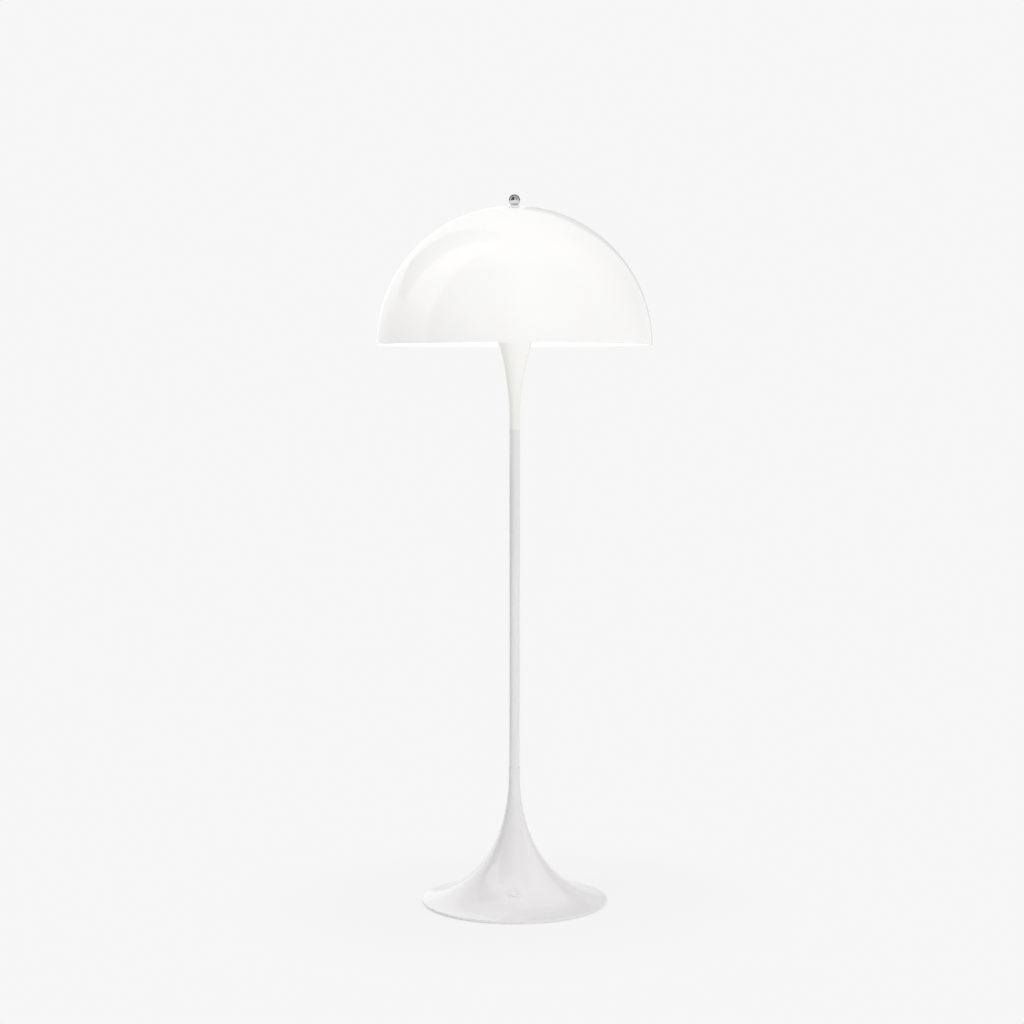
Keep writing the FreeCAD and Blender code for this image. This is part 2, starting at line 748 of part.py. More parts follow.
def post(x, y, z, radius, height):
    cylinder = doc.addObject("Part::Cylinder", "Cylinder")
    for path, expression in (
        ("Radius", radius), ("Height", height), ("Placement.Base.x", x),
        ("Placement.Base.y", y), ("Placement.Base.z", z),
    ):
        bind(cylinder, path, expression)
    return cylinder


def joined(*parts):
    fuse = doc.addObject("Part::MultiFuse", "Fuse")
    fuse.Shapes = list(parts)
    return fuse


def gathered(*parts):
    """Several solids that share one node."""
    group = doc.addObject("Part::Compound", "Group")
    group.Links = list(parts)
    return group


def less(base, *tools):
    for tool in tools:
        cut = doc.addObject("Part::Cut", "Cut")
        cut.Base = base
        cut.Tool = tool
        base = cut
    return base


def make_dimmer():
    """Open case with two screw posts, a lid, and a board that carries three components."""
    y, z = "dimmer_reach", "ballast_top"
    post_x = "dimmer_length / 2 - dimmer_wall / 2 - dimmer_post_radius"
    outer = block("0", y, z, "dimmer_length", "dimmer_width", "dimmer_height")
    inner = block("0", y, f"{z} + dimmer_wall", "dimmer_length - 2 * dimmer_wall",
                  "dimmer_width - 2 * dimmer_wall", "dimmer_height")
    sides = (f"0 - ({post_x})", post_x)
    posts = [post(x, y, z, "dimmer_post_radius", "dimmer_height") for x in sides]
    lid_z = f"{z} + dimmer_height"
    tip_z = f"{lid_z} + dimmer_wall - case_screw_length"
    pilot = [post(x, y, tip_z, "case_screw_radius + thread_fit", "case_screw_length") for x in sides]
    piece(less(joined(less(outer, inner), *posts), *pilot), "dimmer_case")
    lid = block("0", y, lid_z, "dimmer_length", "dimmer_width", "dimmer_wall")
    holes = [post(x, y, lid_z, "case_screw_radius + slip_fit", "dimmer_wall") for x in sides]
    piece(less(lid, *holes), "dimmer_cover")
    screws = []
    for x in sides:
        shank = post(x, y, tip_z, "case_screw_radius", "case_screw_length")
        head = post(x, y, f"{lid_z} + dimmer_wall", "case_screw_head_radius",
                    "case_screw_head_height")
        screws.append(joined(shank, head))
    piece(gathered(*screws), "dimmer_screws")

    board_z = f"{z} + dimmer_wall + board_standoff"
    board_length = "dimmer_length - 2 * (dimmer_wall + 2 * dimmer_post_radius)"
    board_width = "dimmer_width - 2 * (dimmer_wall + slip_fit)"
    legs = [
        post(f"{side} * board_leg_reach", y, f"{z} + dimmer_wall", "board_leg_radius",
             "board_standoff") for side in (-1, 1)
    ]
    board = block("0", y, board_z, board_length, board_width, "board_thickness")
    piece(joined(board, *legs), "dimmer_board")
    top_z = f"{board_z} + board_thickness"
    choke = post("0 - component_reach", y, top_z, "choke_radius", "choke_height")
    capacitor = block("component_reach", f"{y} - component_reach", top_z,
                      "capacitor_length", "capacitor_width", "capacitor_height")
    thyristor = block("component_reach", f"{y} + component_reach", top_z,
                      "thyristor_length", "thyristor_width", "thyristor_height")
    piece(gathered(choke, capacitor, thyristor), "dimmer_components")


def make_terminals():
    """Two-way block beside the gland's channel, with its screws sunk in the top."""
    y, z = "terminal_reach", "ballast_top"
    body = block("0", y, z, "terminal_length", "terminal_width", "terminal_height")
    hole_z = f"{z} + terminal_height - terminal_screw_depth"
    holes, screws = [], []
    for side in (-1, 1):
        x = f"{side} * terminal_length / 4"
        holes.append(post(x, y, hole_z, "terminal_screw_radius + slip_fit", "terminal_screw_depth"))
        screws.append(post(x, y, hole_z, "terminal_screw_radius", "terminal_screw_height"))
    piece(less(body, *holes), "terminal_block")
    piece(gathered(*screws), "terminal_screws")


def make_cord_gland():
    """Bush through the back of the foot, with two ears that rest against the weight's edge."""
    body = new_body("cord_gland")
    sleeve = new_sketch(body, "XZ_Plane", "0 - gland_back")
    draw_circle(sleeve, "gland_r", "0", "gland_z")
    pad(body, sleeve, "gland_length")
    ears = new_sketch(body, "XZ_Plane", "0 - ballast_r - slip_fit - gland_ear_depth")
    draw_box(ears, "0 - gland_r - gland_ear", "shell_bottom", "gland_r + gland_ear",
             "ballast_edge_z")
    pad(body, ears, "gland_ear_depth")
    bore = new_sketch(body, "XZ_Plane", "0 - gland_front")
    draw_circle(bore, "gland_bore_radius", "0", "gland_z")
    pocket(body, bore, "gland_length")


# Stem ---------------------------------------------------------------------------------------------

def make_stem():
    ring("stem_tube", "tube_bore", "tube_radius", "tube_top - seat_z", "seat_z")
    ring("foot_bush", "rod_hole", "tube_bore - thread_fit", "foot_bush_height", "seat_z")
    turned("top_bush", [
        corner("rod_hole", "0 - top_bush_height"),
        corner("tube_bore - thread_fit", "0 - top_bush_height"),
        corner("tube_bore - thread_fit", "0"),
        corner("trumpet_bore - slip_fit", "0"),
        corner("trumpet_bore - slip_fit", "top_bush_spigot"),
        corner("rod_hole", "top_bush_spigot"),
    ], "tube_top")
    low = "tube_top - top_bush_height"
    ring("centre_rod", "rod_bore", "rod_radius", f"hub_z + hub_thread - ({low})", low)


def make_trumpet():
    """Glowing neck and bowl in one piece of even wall, clamped down by a ring and a nut."""
    turned("reflector_trumpet", [
        corner("tube_radius", "tube_top"),
        corner("tube_radius", "bell0_z", right="trumpet_bend_low"),
        corner("bell1_r", "bell1_z", right="trumpet_bend_mid"),
        corner("bell2_r", "bell2_z", right="trumpet_bend_top"),
        corner("bell3_r", "bell3_z"),
        corner("bell3_r - trumpet_wall * bell3_c", "bell3_z + trumpet_wall * bell3_s",
               left="trumpet_bend_top + trumpet_wall"),
        corner("bell2_r - trumpet_wall * bell2_c", "bell2_z + trumpet_wall * bell2_s",
               left="inner_bend_mid"),
        corner("bell1_r - trumpet_wall * bell1_c", "bell1_z + trumpet_wall * bell1_s",
               left="inner_bend_low"),
        corner("trumpet_bore", "bell0_z"),
        corner("trumpet_bore", "tube_top"),
    ])
    turned("neck_clamp_ring", [
        corner("rod_hole", "clamp_low_z"),
        corner("clamp_low_r", "clamp_low_z", right="inner_bend_low"),
        corner("clamp_top_r", "clamp_top_z"),
        corner("rod_hole", "clamp_top_z"),
    ])
    nut("neck_clamp_nut", "rod_nut_across", "rod_hole", "rod_nut_height", "clamp_top_z")


# Lampholders and bulbs ----------------------------------------------------------------------------

def make_wire_hub():
    """Joins the hollow rod to the shade's stud and lets one lead out to each lampholder."""
    hub = turned("wire_hub", [
        corner("rod_hole", "hub_z"),
        corner("hub_radius", "hub_z"),
        corner("hub_radius", "arm_z"),
        corner("stud_radius + thread_fit", "arm_z"),
        corner("stud_radius + thread_fit", "arm_z - hub_stud_thread"),
        corner("hub_chamber_r", "arm_z - hub_stud_thread"),
        corner("hub_chamber_r", "hub_z + hub_thread"),
        corner("rod_hole", "hub_z + hub_thread"),
    ])
    window = new_sketch(hub, "XZ_Plane")
    draw_circle(window, "hub_window_radius", "0", "window_z")
    drilled = pocket(hub, window, "hub_radius * 2", towards_normal=True)
    around_z(hub, [drilled], len(HOLDER_ANGLES))


def make_lamp_plate():
    body = new_body("lamp_plate", "arm_z")
    disc = new_sketch(body)
    draw_circle(disc, "arm_disc_radius")
    pad(body, disc, "arm_thickness")
    arm = new_sketch(body)
    draw(arm, [
        corner("0 - arm_half_width", "0"),
        corner("0 - arm_half_width", "0 - holder_circle", left="arm_half_width"),
        corner("0", "0 - holder_circle - arm_half_width", left="arm_half_width"),
        corner("arm_half_width", "0 - holder_circle"),
        corner("arm_half_width", "0"),
    ])
    around_z(body, [pad(body, arm, "arm_thickness")], len(HOLDER_ANGLES))
    centre = new_sketch(body, along_normal="arm_thickness")
    draw_circle(centre, "stud_hole")
    pocket(body, centre, "arm_thickness")
    seat = new_sketch(body, along_normal="arm_thickness")
    draw_circle(seat, "rod_hole", "0", "0 - holder_circle")
    around_z(body, [pocket(body, seat, "arm_thickness")], len(HOLDER_ANGLES))
    nut("plate_nut", "stud_nut_across", "stud_radius + thread_fit", "stud_nut_height", "holder_z")


def three_round(label, z, rings):
    """The same stack of padded outlines under each of the three lampholders."""
    body = new_body(label, z)
    made = []
    for rise, height, outline in rings:
        sketch = new_sketch(body, along_normal=rise)
        outline(sketch)
        made.append(pad(body, sketch, height))
    around_z(body, made, len(HOLDER_ANGLES))


def make_holder_fixings():
    circle_y = "0 - holder_circle"

    def nipple(sketch):
        draw_circle(sketch, "rod_radius", "0", circle_y)
        draw_circle(sketch, "nipple_bore", "0", circle_y)

    def lock_nut(sketch):
        draw_hexagon(sketch, "nipple_nut_across", "0", circle_y)
        draw_circle(sketch, "rod_hole", "0", circle_y)

    def shell(sketch):
        draw_circle(sketch, "screw_shell_r", "0", circle_y)
        draw_circle(sketch, "screw_shell_bore", "0", circle_y)

    def solid(radius):
        return lambda sketch: draw_circle(sketch, radius, "0", circle_y)

    nipple_height = "nipple_drop + arm_thickness + holder_floor"
    three_round("holder_nipples", "arm_z - nipple_drop", [("0", nipple_height, nipple)])
    three_round("nipple_nuts", "arm_z - nipple_nut_height", [("0", "nipple_nut_height", lock_nut)])
    three_round("screw_shells", "holder_z + screw_shell_step",
                [("0", "screw_shell_height", shell)])
    three_round("centre_contacts", "holder_z + holder_floor", [
        ("0", "contact_disc_height", solid("cap_radius - slip_fit")),
        ("contact_disc_height", "screw_shell_lift - contact_disc_height",
         solid("contact_pin_radius")),
    ])
    three_round("bulb_caps", "contact_z", [
        ("0", "cap_contact_height", solid("cap_contact_radius")),
        ("cap_contact_height", "cap_height", solid("cap_radius")),
    ])


def make_lampholder(index, angle):
    """Sleeve of one lampholder, and the glass of its bulb."""
    bore = "screw_shell_r + thread_fit"
    mouth = "holder_height - holder_mouth_chamfer"
    holder = turned(f"lampholder_{index}", [
        corner("rod_hole", "0"),
        corner("holder_radius", "0"),
        corner("holder_radius", mouth),
        corner("holder_radius - holder_mouth_chamfer", "holder_height"),
        corner(bore, "holder_height"),
        corner(bore, "screw_shell_step"),
        corner("cap_radius", "screw_shell_step"),
        corner("cap_radius", "holder_floor"),
        corner("rod_hole", "holder_floor"),
    ], "holder_z")
    inner = "(globe_radius - globe_wall)"
    neck = "globe_neck_angle"
    foot = "(cap_radius - thread_fit)"
    glass = turned(f"bulb_{index}_glass", [
        corner(f"{foot} - globe_wall", "0"),
        corner(foot, "0"),
        corner(foot, "mouth_z - cap_top"),
        corner(f"globe_radius * cos({neck})", f"globe_rise - globe_radius * sin({neck})",
               left="globe_radius"),
        corner("0", "globe_rise + globe_radius"),
        corner("0", f"globe_rise + {inner}", right=inner),
        corner(f"{inner} * cos({neck})", f"globe_rise - {inner} * sin({neck})"),
        corner(f"{foot} - globe_wall", "mouth_z - cap_top"),
    ], "cap_top")
    for body in (holder, glass):
        bind(body, "Placement.Base.x", f"holder_circle * cos({angle})")
        bind(body, "Placement.Base.y", f"holder_circle * sin({angle})")


# Shade, its carrier and the finial ----------------------------------------------------------------

def on_sphere(radius, reach):
    """Height above the rim of a sphere's surface at this distance from the axis."""
    return f"sqrt(({radius}) ^ 2 - ({reach}) ^ 2)"


def make_shade():
    shade = turned("shade", [
        corner("shade_radius", "0", left="shade_radius"),
        corner("shade_hole", on_sphere("shade_radius", "shade_hole")),
        corner("shade_hole", on_sphere("shade_inner", "shade_hole"), right="shade_inner"),
        corner("shade_inner", "0"),
    ], "rim_z")
    outer, inner = at_radius("shade_radius"), at_radius("shade_inner")
    round_edges(shade, "shade_rim_round", lambda spot: outer(spot) or inner(spot))


def make_carrier():
    """Rubber ring and spun disc that carry the shade, held up by a nut on the stud."""
    turned("shade_gasket", [
        corner("gasket_inner_radius", on_sphere("gasket_under", "gasket_inner_radius"),
               right="gasket_under"),
        corner("gasket_outer_radius", on_sphere("gasket_under", "gasket_outer_radius")),
        corner("gasket_outer_radius", on_sphere("shade_inner", "gasket_outer_radius"),
               left="shade_inner"),
        corner("gasket_inner_radius", on_sphere("shade_inner", "gasket_inner_radius")),
    ], "rim_z")
    turned("shade_carrier", [
        corner("stud_hole", "carrier_foot"),
        corner("carrier_boss_radius", "carrier_foot"),
        corner("carrier_boss_radius", on_sphere("carrier_under", "carrier_boss_radius"),
               right="carrier_under"),
        corner("carrier_radius", on_sphere("carrier_under", "carrier_radius")),
        corner("carrier_radius", on_sphere("gasket_under", "carrier_radius"), left="gasket_under"),
        corner("stud_hole", on_sphere("gasket_under", "stud_hole")),
    ], "rim_z")
    nut("carrier_nut", "stud_nut_across", "stud_radius + thread_fit", "stud_nut_height",
        "rim_z + carrier_foot - stud_nut_height")
    low = "arm_z - hub_stud_thread"
    stud = new_body("shade_stud", low)
    end = new_sketch(stud)
    draw_circle(end, "stud_radius")
    pad(stud, end, f"finial_z + finial_thread - ({low})")


def make_finial():
    """Soft pad, washer and chrome ball that close the crown."""
    turned("crown_pad", [
        corner("shade_hole", on_sphere("shade_radius", "shade_hole"), right="shade_radius"),
        corner("crown_pad_radius", on_sphere("shade_radius", "crown_pad_radius")),
        corner("crown_pad_radius", "pad_top"),
        corner("shade_hole", "pad_top"),
    ], "rim_z")
    washer = ring("finial_washer", "stud_hole", "finial_washer_radius", "finial_washer_thickness",
                  "rim_z + pad_top")
    round_edges(washer, "finial_washer_round", at_radius("finial_washer_radius"))
    hole, depth = "stud_radius + thread_fit", "finial_thread + finial_thread_relief"
    turned("finial_knob", [
        corner(hole, "0"),
        corner("finial_flat_r", "0", left="finial_radius"),
        corner("0", "finial_flat_drop + finial_radius"),
        corner("0", depth),
        corner(hole, depth),
    ], "finial_z")


# Wiring -------------------------------------------------------------------------------------------

def run_lead(points, radius):
    """A round lead through the points: straight runs joined by tangent arcs."""
    spots = [Vector(*(number(value) for value in point)) for point in points]
    edges, start = [], spots[0]
    for before, here, after in zip(spots, spots[1:], spots[2:]):
        into, out = here - before, after - here
        half_turn = into.getAngle(out) / 2
        reach = BEND_SHARE * min(into.Length, out.Length)
        enter = here - into.normalize() * reach
        leave = here + out.normalize() * reach
        bend = reach / math.tan(half_turn)
        middle = here + (out - into).normalize() * (bend / math.cos(half_turn) - bend)
        edges += [Part.LineSegment(start, enter).toShape(), Part.Arc(enter, middle, leave).toShape()]
        start = leave
    edges.append(Part.LineSegment(start, spots[-1]).toShape())
    path = Part.Wire(edges)
    section = Part.Wire(Part.Circle(spots[0], spots[1] - spots[0], number(radius)).toShape())
    return path.makePipeShell([section], True, False)


def lead_piece(label, shape):
    feature = doc.addObject("Part::Feature", "Lead_" + label)
    feature.Shape = shape
    return piece(feature, label)


def make_leads():
    """Mains lead up the stem, a short lead to each lampholder, and the leads inside the foot."""
    case_face = "dimmer_reach - dimmer_width / 2"
    slot_middle = "lead_slot_bottom + lead_slot_height / 2"
    level = "ballast_top + dimmer_height / 2"
    lead_piece("stem_lead", run_lead([
        ("0", case_face, level), ("0", f"({case_face}) / 2", level),
        ("0", "0", f"{slot_middle} + rod_radius"), ("0", "0", "window_z"),
    ], "stem_lead_radius"))
    dip = "arm_z - lead_dip"
    turn_x = "hub_radius + lead_run"
    holder_lead = run_lead([
        ("stem_lead_radius + small_lead_radius", "0", "window_z"), (turn_x, "0", "window_z"),
        (f"({turn_x} + holder_circle) / 2", "0", dip), ("holder_circle", "0", dip),
        ("holder_circle", "0", "holder_z + holder_floor"),
    ], "small_lead_radius")
    turns = [holder_lead.copy().rotate(Vector(), Vector(0, 0, 1), angle) for angle in HOLDER_ANGLES]
    lead_piece("holder_leads", Part.Compound(turns))
    low = "ballast_top + small_lead_radius * 2"
    first, second = (
        ("0", f"{down} * button_c - button_reach", f"button_z - {down} * button_s")
        for down in ("switch_depth", "switch_lead_depth")
    )
    lead_piece("switch_lead", run_lead([
        first, second, ("lead_aside", f"{second[1]} + switch_radius", low),
        ("lead_aside", case_face, low),
    ], "small_lead_radius"))
    lead_piece("terminal_lead", run_lead([
        ("0", "dimmer_reach + dimmer_width / 2", low), ("0", "terminal_reach - terminal_width / 2", low),
    ], "small_lead_radius"))


def write_parts():
    """Checks every object, then writes one STEP file for each sub-part."""
    doc.recompute()
    for item in doc.Objects:
        if "Invalid" in item.State or "Error" in item.State:
            raise RuntimeError(f"{item.Label} failed to recompute")
    os.makedirs("parts", exist_ok=True)
    for item in pieces:
        if item.Shape.isNull() or not item.Shape.isValid() or item.Shape.Volume <= 0:
            raise RuntimeError(f"{item.Label} has no valid shape")
        item.Shape.exportStep(f"parts/{item.Label}.step")
        print(f"{item.Label:20s} {len(item.Shape.Solids)} solids {item.Shape.Volume:12.1f} mm3")


make_foot_ring()
make_bottom_plate()
make_base_shell()
make_ballast()
make_plate_screws()
make_foot_clamp()
make_neck_socket()
make_button()
make_button_spring()
make_switch()
make_dimmer()
make_terminals()
make_cord_gland()
make_stem()
make_trumpet()
make_wire_hub()
make_lamp_plate()
make_holder_fixings()
for place, turn in enumerate(HOLDER_ANGLES, start=1):
    make_lampholder(place, turn)
make_shade()
make_carrier()
make_finial()
make_leads()
write_parts()
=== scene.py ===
import json
import math

import bmesh
import bpy
from bpy.props import FloatProperty, FloatVectorProperty, IntProperty, PointerProperty
from mathutils import Matrix, Vector


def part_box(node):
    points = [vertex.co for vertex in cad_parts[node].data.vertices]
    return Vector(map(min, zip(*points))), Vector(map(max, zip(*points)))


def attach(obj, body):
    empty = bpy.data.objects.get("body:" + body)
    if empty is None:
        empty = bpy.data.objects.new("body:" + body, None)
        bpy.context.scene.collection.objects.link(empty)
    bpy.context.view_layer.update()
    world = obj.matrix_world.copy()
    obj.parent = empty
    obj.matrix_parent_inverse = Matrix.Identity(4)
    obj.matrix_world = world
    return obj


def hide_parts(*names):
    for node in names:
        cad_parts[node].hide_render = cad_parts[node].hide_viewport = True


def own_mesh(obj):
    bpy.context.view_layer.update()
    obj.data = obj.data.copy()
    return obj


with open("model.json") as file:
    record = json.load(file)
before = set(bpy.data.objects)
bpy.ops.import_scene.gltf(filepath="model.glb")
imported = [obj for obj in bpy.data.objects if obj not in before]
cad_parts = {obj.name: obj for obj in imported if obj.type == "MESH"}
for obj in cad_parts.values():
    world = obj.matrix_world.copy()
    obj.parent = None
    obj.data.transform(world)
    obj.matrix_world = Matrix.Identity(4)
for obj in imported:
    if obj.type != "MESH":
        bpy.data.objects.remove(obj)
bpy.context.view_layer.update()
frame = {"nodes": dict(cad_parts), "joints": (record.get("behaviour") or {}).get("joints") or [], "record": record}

bl_info = {
    "name": "Mushroom Floor Lamp",
    "version": (1, 0, 0),
    "blender": (4, 5, 0),
    "location": "View3D > Sidebar > Lamp",
    "description": "Dresses a mushroom floor lamp: shade, glowing neck, tube, foot and inner parts",
    "category": "Object",
}

UPRIGHT = Vector((0, 0, 1))
FULL_TURN = 2 * math.pi
SHARP_ANGLE = math.radians(32)
MERGE_DISTANCE = 1e-6
ROUNDING_STEPS = 5
WIRE_STEPS = 10
MIX_LOW, MIX_HIGH, MIX_RESULT = 6, 7, 2


# Sizes and colours -------------------------------------------------------------------------------

def half_width(node):
    """Half of a solid's reach along X."""
    low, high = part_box(node)
    return (high.x - low.x) / 2


def bottom(node):
    """Lowest height of a solid."""
    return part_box(node)[0].z


def top(node):
    """Highest height of a solid."""
    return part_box(node)[1].z


def size(label, about, default):
    """A length in metres that the panel shows."""
    return FloatProperty(name=label, description=about, default=default, min=0, unit="LENGTH",
                         precision=4)


def angle(label, about, degrees):
    """An angle that is written here in degrees and kept in radians."""
    return FloatProperty(name=label, description=about, default=math.radians(degrees),
                         subtype="ANGLE")


def colour(label, about, *rgb):
    """A colour that the panel shows as a swatch."""
    return FloatVectorProperty(name=label, description=about, default=rgb, size=3, min=0, max=1,
                               subtype="COLOR")


class LampShadeSizes(bpy.types.PropertyGroup):
    """Dome, its crown and the ball on top."""
    radius: size("Radius", "Outside radius of the dome", half_width("shade"))
    wall: size("Wall", "Thickness of the acrylic", 0.003)
    rim_round: size("Rim rounding", "Rounding of the rim's two edges", 0.0011)
    hole: size("Crown hole", "Radius of the hole for the stud", 0.0045)
    ball: size("Ball", "Radius of the chrome ball", half_width("finial_knob"))
    ball_drop: size("Ball seat", "Depth of the ball's flat seat below its centre", 0.0085)
    seat_round: size("Seat rounding", "Rounding of the ball's flat seat", 0.0003)
    washer: size("Washer", "Radius of the washer under the ball", half_width("finial_washer"))
    washer_round: size("Washer rounding", "Rounding of the washer's edges", 0.0008)
    stud: size("Stud", "Outside radius of the stud's thread", half_width("shade_stud"))
    stud_pitch: size("Stud pitch", "Rise of the stud's thread in one turn", 0.001)
    thread_fit: size("Thread fit", "Clearance round a thread", 0.00005)


class LampStemSizes(bpy.types.PropertyGroup):
    """Glowing neck and bowl, and the tube that carries them."""
    tube: size("Tube", "Outside radius of the tube and of the neck's foot", half_width("stem_tube"))
    tube_wall: size("Tube wall", "Thickness of the tube", 0.0012)
    edge_round: size("Edge rounding", "Rounding of the ends that meet at the joint", 0.0004)
    neck_wall: size("Neck wall", "Thickness of the neck and bowl", 0.0025)
    neck_straight: size("Straight start", "Height of the neck before it opens", 0.016)
    low_bend: size("Lower bend", "Radius of the neck's first bend", 0.460)
    low_turn: angle("Lower turn", "How far the neck's first bend turns outwards", 20)
    mid_bend: size("Middle bend", "Radius of the neck's second bend", 0.150)
    mid_turn: angle("Middle turn", "How far the neck's second bend turns outwards", 32)
    top_bend: size("Upper bend", "Radius of the bowl's last bend", 0.095)
    top_turn: angle("Upper turn", "How far the bowl's last bend turns outwards", 26)
    lip_round: size("Lip rounding", "Rounding of the bowl's lip", 0.0011)


class LampFootSizes(bpy.types.PropertyGroup):
    """Button on the foot and the soft ring under it."""
    ring_inner: size("Ring inside", "Inner radius of the soft ring", 0.146)
    ring_round: size("Ring rounding", "Rounding of the soft ring's edges", 0.0004)
    button_reach: size("Button reach", "Distance of the button from the lamp's axis", 0.0954)
    button_height: size("Button height", "Height of the flank at the button", 0.03735)
    button: size("Button", "Radius of the button", 0.0075)
    button_rise: size("Button rise", "How far the button stands out of the flank", 0.0012)
    button_crown: size("Button rounding", "Rounding of the button's edge", 0.001)
    button_dish: size("Button dish", "Depth of the shallow dish in the button", 0.00045)
    button_lip: size("Button lip", "Radius of the lip that keeps the button in", 0.0086)
    button_lip_height: size("Lip height", "Height of the button's lip", 0.0015)
    button_wall: size("Button wall", "Thickness of the button's skirt", 0.00075)
    button_roof: size("Button roof", "Thickness of the button's face", 0.0015)
    button_post: size("Button post", "Radius of the post that works the switch", 0.0018)
    button_post_end: size("Post end", "Gap between the post and the barrel's end", 0.0014)
    dish_round: size("Dish rounding", "Rounding of the dish's edges", 0.0004)
    bore_round: size("Bore rounding", "Rounding of the bezel's mouth", 0.0002)
    barrel: size("Barrel", "Outside radius of the bezel's barrel", 0.010)
    flange: size("Flange", "Radius of the bezel's flange", 0.0121)
    flange_rise: size("Flange rise", "Height of the bezel's flange over the flank", 0.0005)
    flange_seat: size("Flange seat", "Depth of the flange's seat in the flank", 0.0006)
    shoulder: size("Shoulder", "Depth of the bezel's inner shoulder", 0.004)
    barrel_depth: size("Barrel depth", "Depth of the bezel's barrel", 0.014)
    gap: size("Button gap", "Gap round the button", 0.00018)
    seat_gap: size("Seat gap", "Gap above the button's lip and at the spring's ends", 0.0001)
    spring: size("Spring", "Radius of the return spring", 0.0045)
    spring_wire: size("Spring wire", "Radius of the spring's wire", 0.0004)
    spring_turns: IntProperty(name="Spring turns", description="Turns of the return spring",
                              default=5, min=1, max=12)
    button_travel: size("Button travel", "How far the button goes down", 0.0025)


class LampBulbSizes(bpy.types.PropertyGroup):
    """Lampholders and bulbs."""
    holder: size("Holder", "Outside radius of a lampholder", 0.014)
    holder_bore: size("Holder bore", "Inside radius of a lampholder", 0.00765)
    mouth_bevel: size("Mouth bevel", "Bevel round a lampholder's mouth", 0.0015)
    mouth_round: size("Mouth rounding", "Rounding of the mouth's edges", 0.0004)
    foot_round: size("Foot rounding", "Rounding of a lampholder's foot", 0.0006)
    band_margin: size("Band margin", "Distance of the grooves from a lampholder's ends", 0.012)
    groove_inset: size("Groove inset", "Slope round a finger groove", 0.0003)
    groove: size("Groove", "Depth of a finger groove", 0.0006)
    floor: size("Floor", "Height at which a bulb's cap ends", 0.012)
    well: size("Well", "Radius of the well under the cap", 0.0069)
    well_floor: size("Well floor", "Height of the well's floor", 0.008)
    nipple: size("Nipple hole", "Radius of the hole for the threaded nipple", 0.00505)
    globe: size("Globe", "Radius of a bulb's globe", 0.0225)
    globe_wall: size("Glass", "Thickness of a bulb's glass", 0.0008)
    neck: size("Bulb neck", "Radius of a bulb's neck", 0.00685)
    neck_round: size("Neck rounding", "Rounding where the neck meets the globe", 0.0012)
    shoulder: angle("Shoulder", "How far below its middle the globe meets the neck", 50)


class LampColours(bpy.types.PropertyGroup):
    """Colours that the lamp is sold in."""
    acrylic: colour("Acrylic", "Colour of the opal acrylic", 0.86, 0.86, 0.845)
    lacquer: colour("Lacquer", "Colour of the gloss lacquer", 0.80, 0.785, 0.795)
    metal: colour("Metal", "Colour of the ball and washer", 0.85, 0.85, 0.86)
    glow: FloatProperty(name="Glow", description="How brightly the acrylic is lit from inside",
                        default=1.0, min=0, max=4, subtype="FACTOR")


class LampDetail(bpy.types.PropertyGroup):
    """How finely round pieces are made."""
    round_steps: IntProperty(name="Round steps", description="Faces round the large turned pieces",
                             default=160, min=24, max=320)
    fine_steps: IntProperty(name="Fine steps", description="Faces round the small turned pieces",
                            default=64, min=16, max=160)


# Outlines and pieces -----------------------------------------------------------------------------

class Outline:
    """A radius-height outline drawn edge by edge in a bmesh, then spun round the Z axis."""

    def __init__(self, radius, height):
        self.mesh = bmesh.new()
        self.first = self.tip = self.mesh.verts.new((radius, 0, height))
        self.rounded = []

    def to(self, radius, height, rounding=0):
        """Draws a straight edge, and notes whether its far corner is to be rounded."""
        self.tip = bmesh.ops.extrude_vert_indiv(self.mesh, verts=[self.tip])["verts"][0]
        self.tip.co = (radius, 0, height)
        self.round_here(rounding)
        return self

    def arc(self, centre_radius, centre_height, turn, steps):
        """Draws an arc about a centre; a positive turn is clockwise with radius to the right."""
        made = bmesh.ops.spin(self.mesh, geom=[self.tip], cent=(centre_radius, 0, centre_height),
                              axis=(0, 1, 0), angle=turn, steps=steps)
        self.tip = next(item for item in made["geom_last"] if isinstance(item, bmesh.types.BMVert))
        return self

    def round_here(self, rounding):
        """Notes that the corner drawn last is to be rounded."""
        if rounding:
            self.rounded.append((self.tip.co.copy(), rounding))
        return self

    def spun(self, steps):
        """Closes the outline, rounds the noted corners and spins it into a closed skin."""
        mesh = self.mesh
        mesh.edges.new((self.tip, self.first))
        for place, rounding in self.rounded:
            corner = min(mesh.verts, key=lambda vert: (vert.co - place).length_squared)
            bmesh.ops.bevel(mesh, geom=[corner], offset=rounding, offset_type="OFFSET",
                            segments=ROUNDING_STEPS, profile=0.5, affect="VERTICES", material=-1)
        bmesh.ops.spin(mesh, geom=mesh.verts[:] + mesh.edges[:], cent=(0, 0, 0), axis=UPRIGHT,
                       angle=FULL_TURN, steps=steps, use_merge=True)
        return seal(mesh)


def seal(mesh):
    """Merges doubles and points the faces outwards."""
    bmesh.ops.remove_doubles(mesh, verts=mesh.verts[:], dist=MERGE_DISTANCE)
    bmesh.ops.dissolve_degenerate(mesh, edges=mesh.edges[:], dist=MERGE_DISTANCE)
    bmesh.ops.recalc_face_normals(mesh, faces=mesh.faces[:])
    return mesh


def shaded(mesh):
    """Smooth faces, with an edge kept sharp where two faces meet at more than the sharp angle."""
    for face in mesh.faces:
        face.smooth = True
    for edge in mesh.edges:
        edge.smooth = edge.calc_face_angle(0) < SHARP_ANGLE
    return mesh


def place_object(label, mesh):
    """Makes an object of the mesh and links it to the scene."""
    data = bpy.data.meshes.new(label)
    mesh.to_mesh(data)
    mesh.free()
    made = bpy.data.objects.new(label, data)
    bpy.context.scene.collection.objects.link(made)
    return made


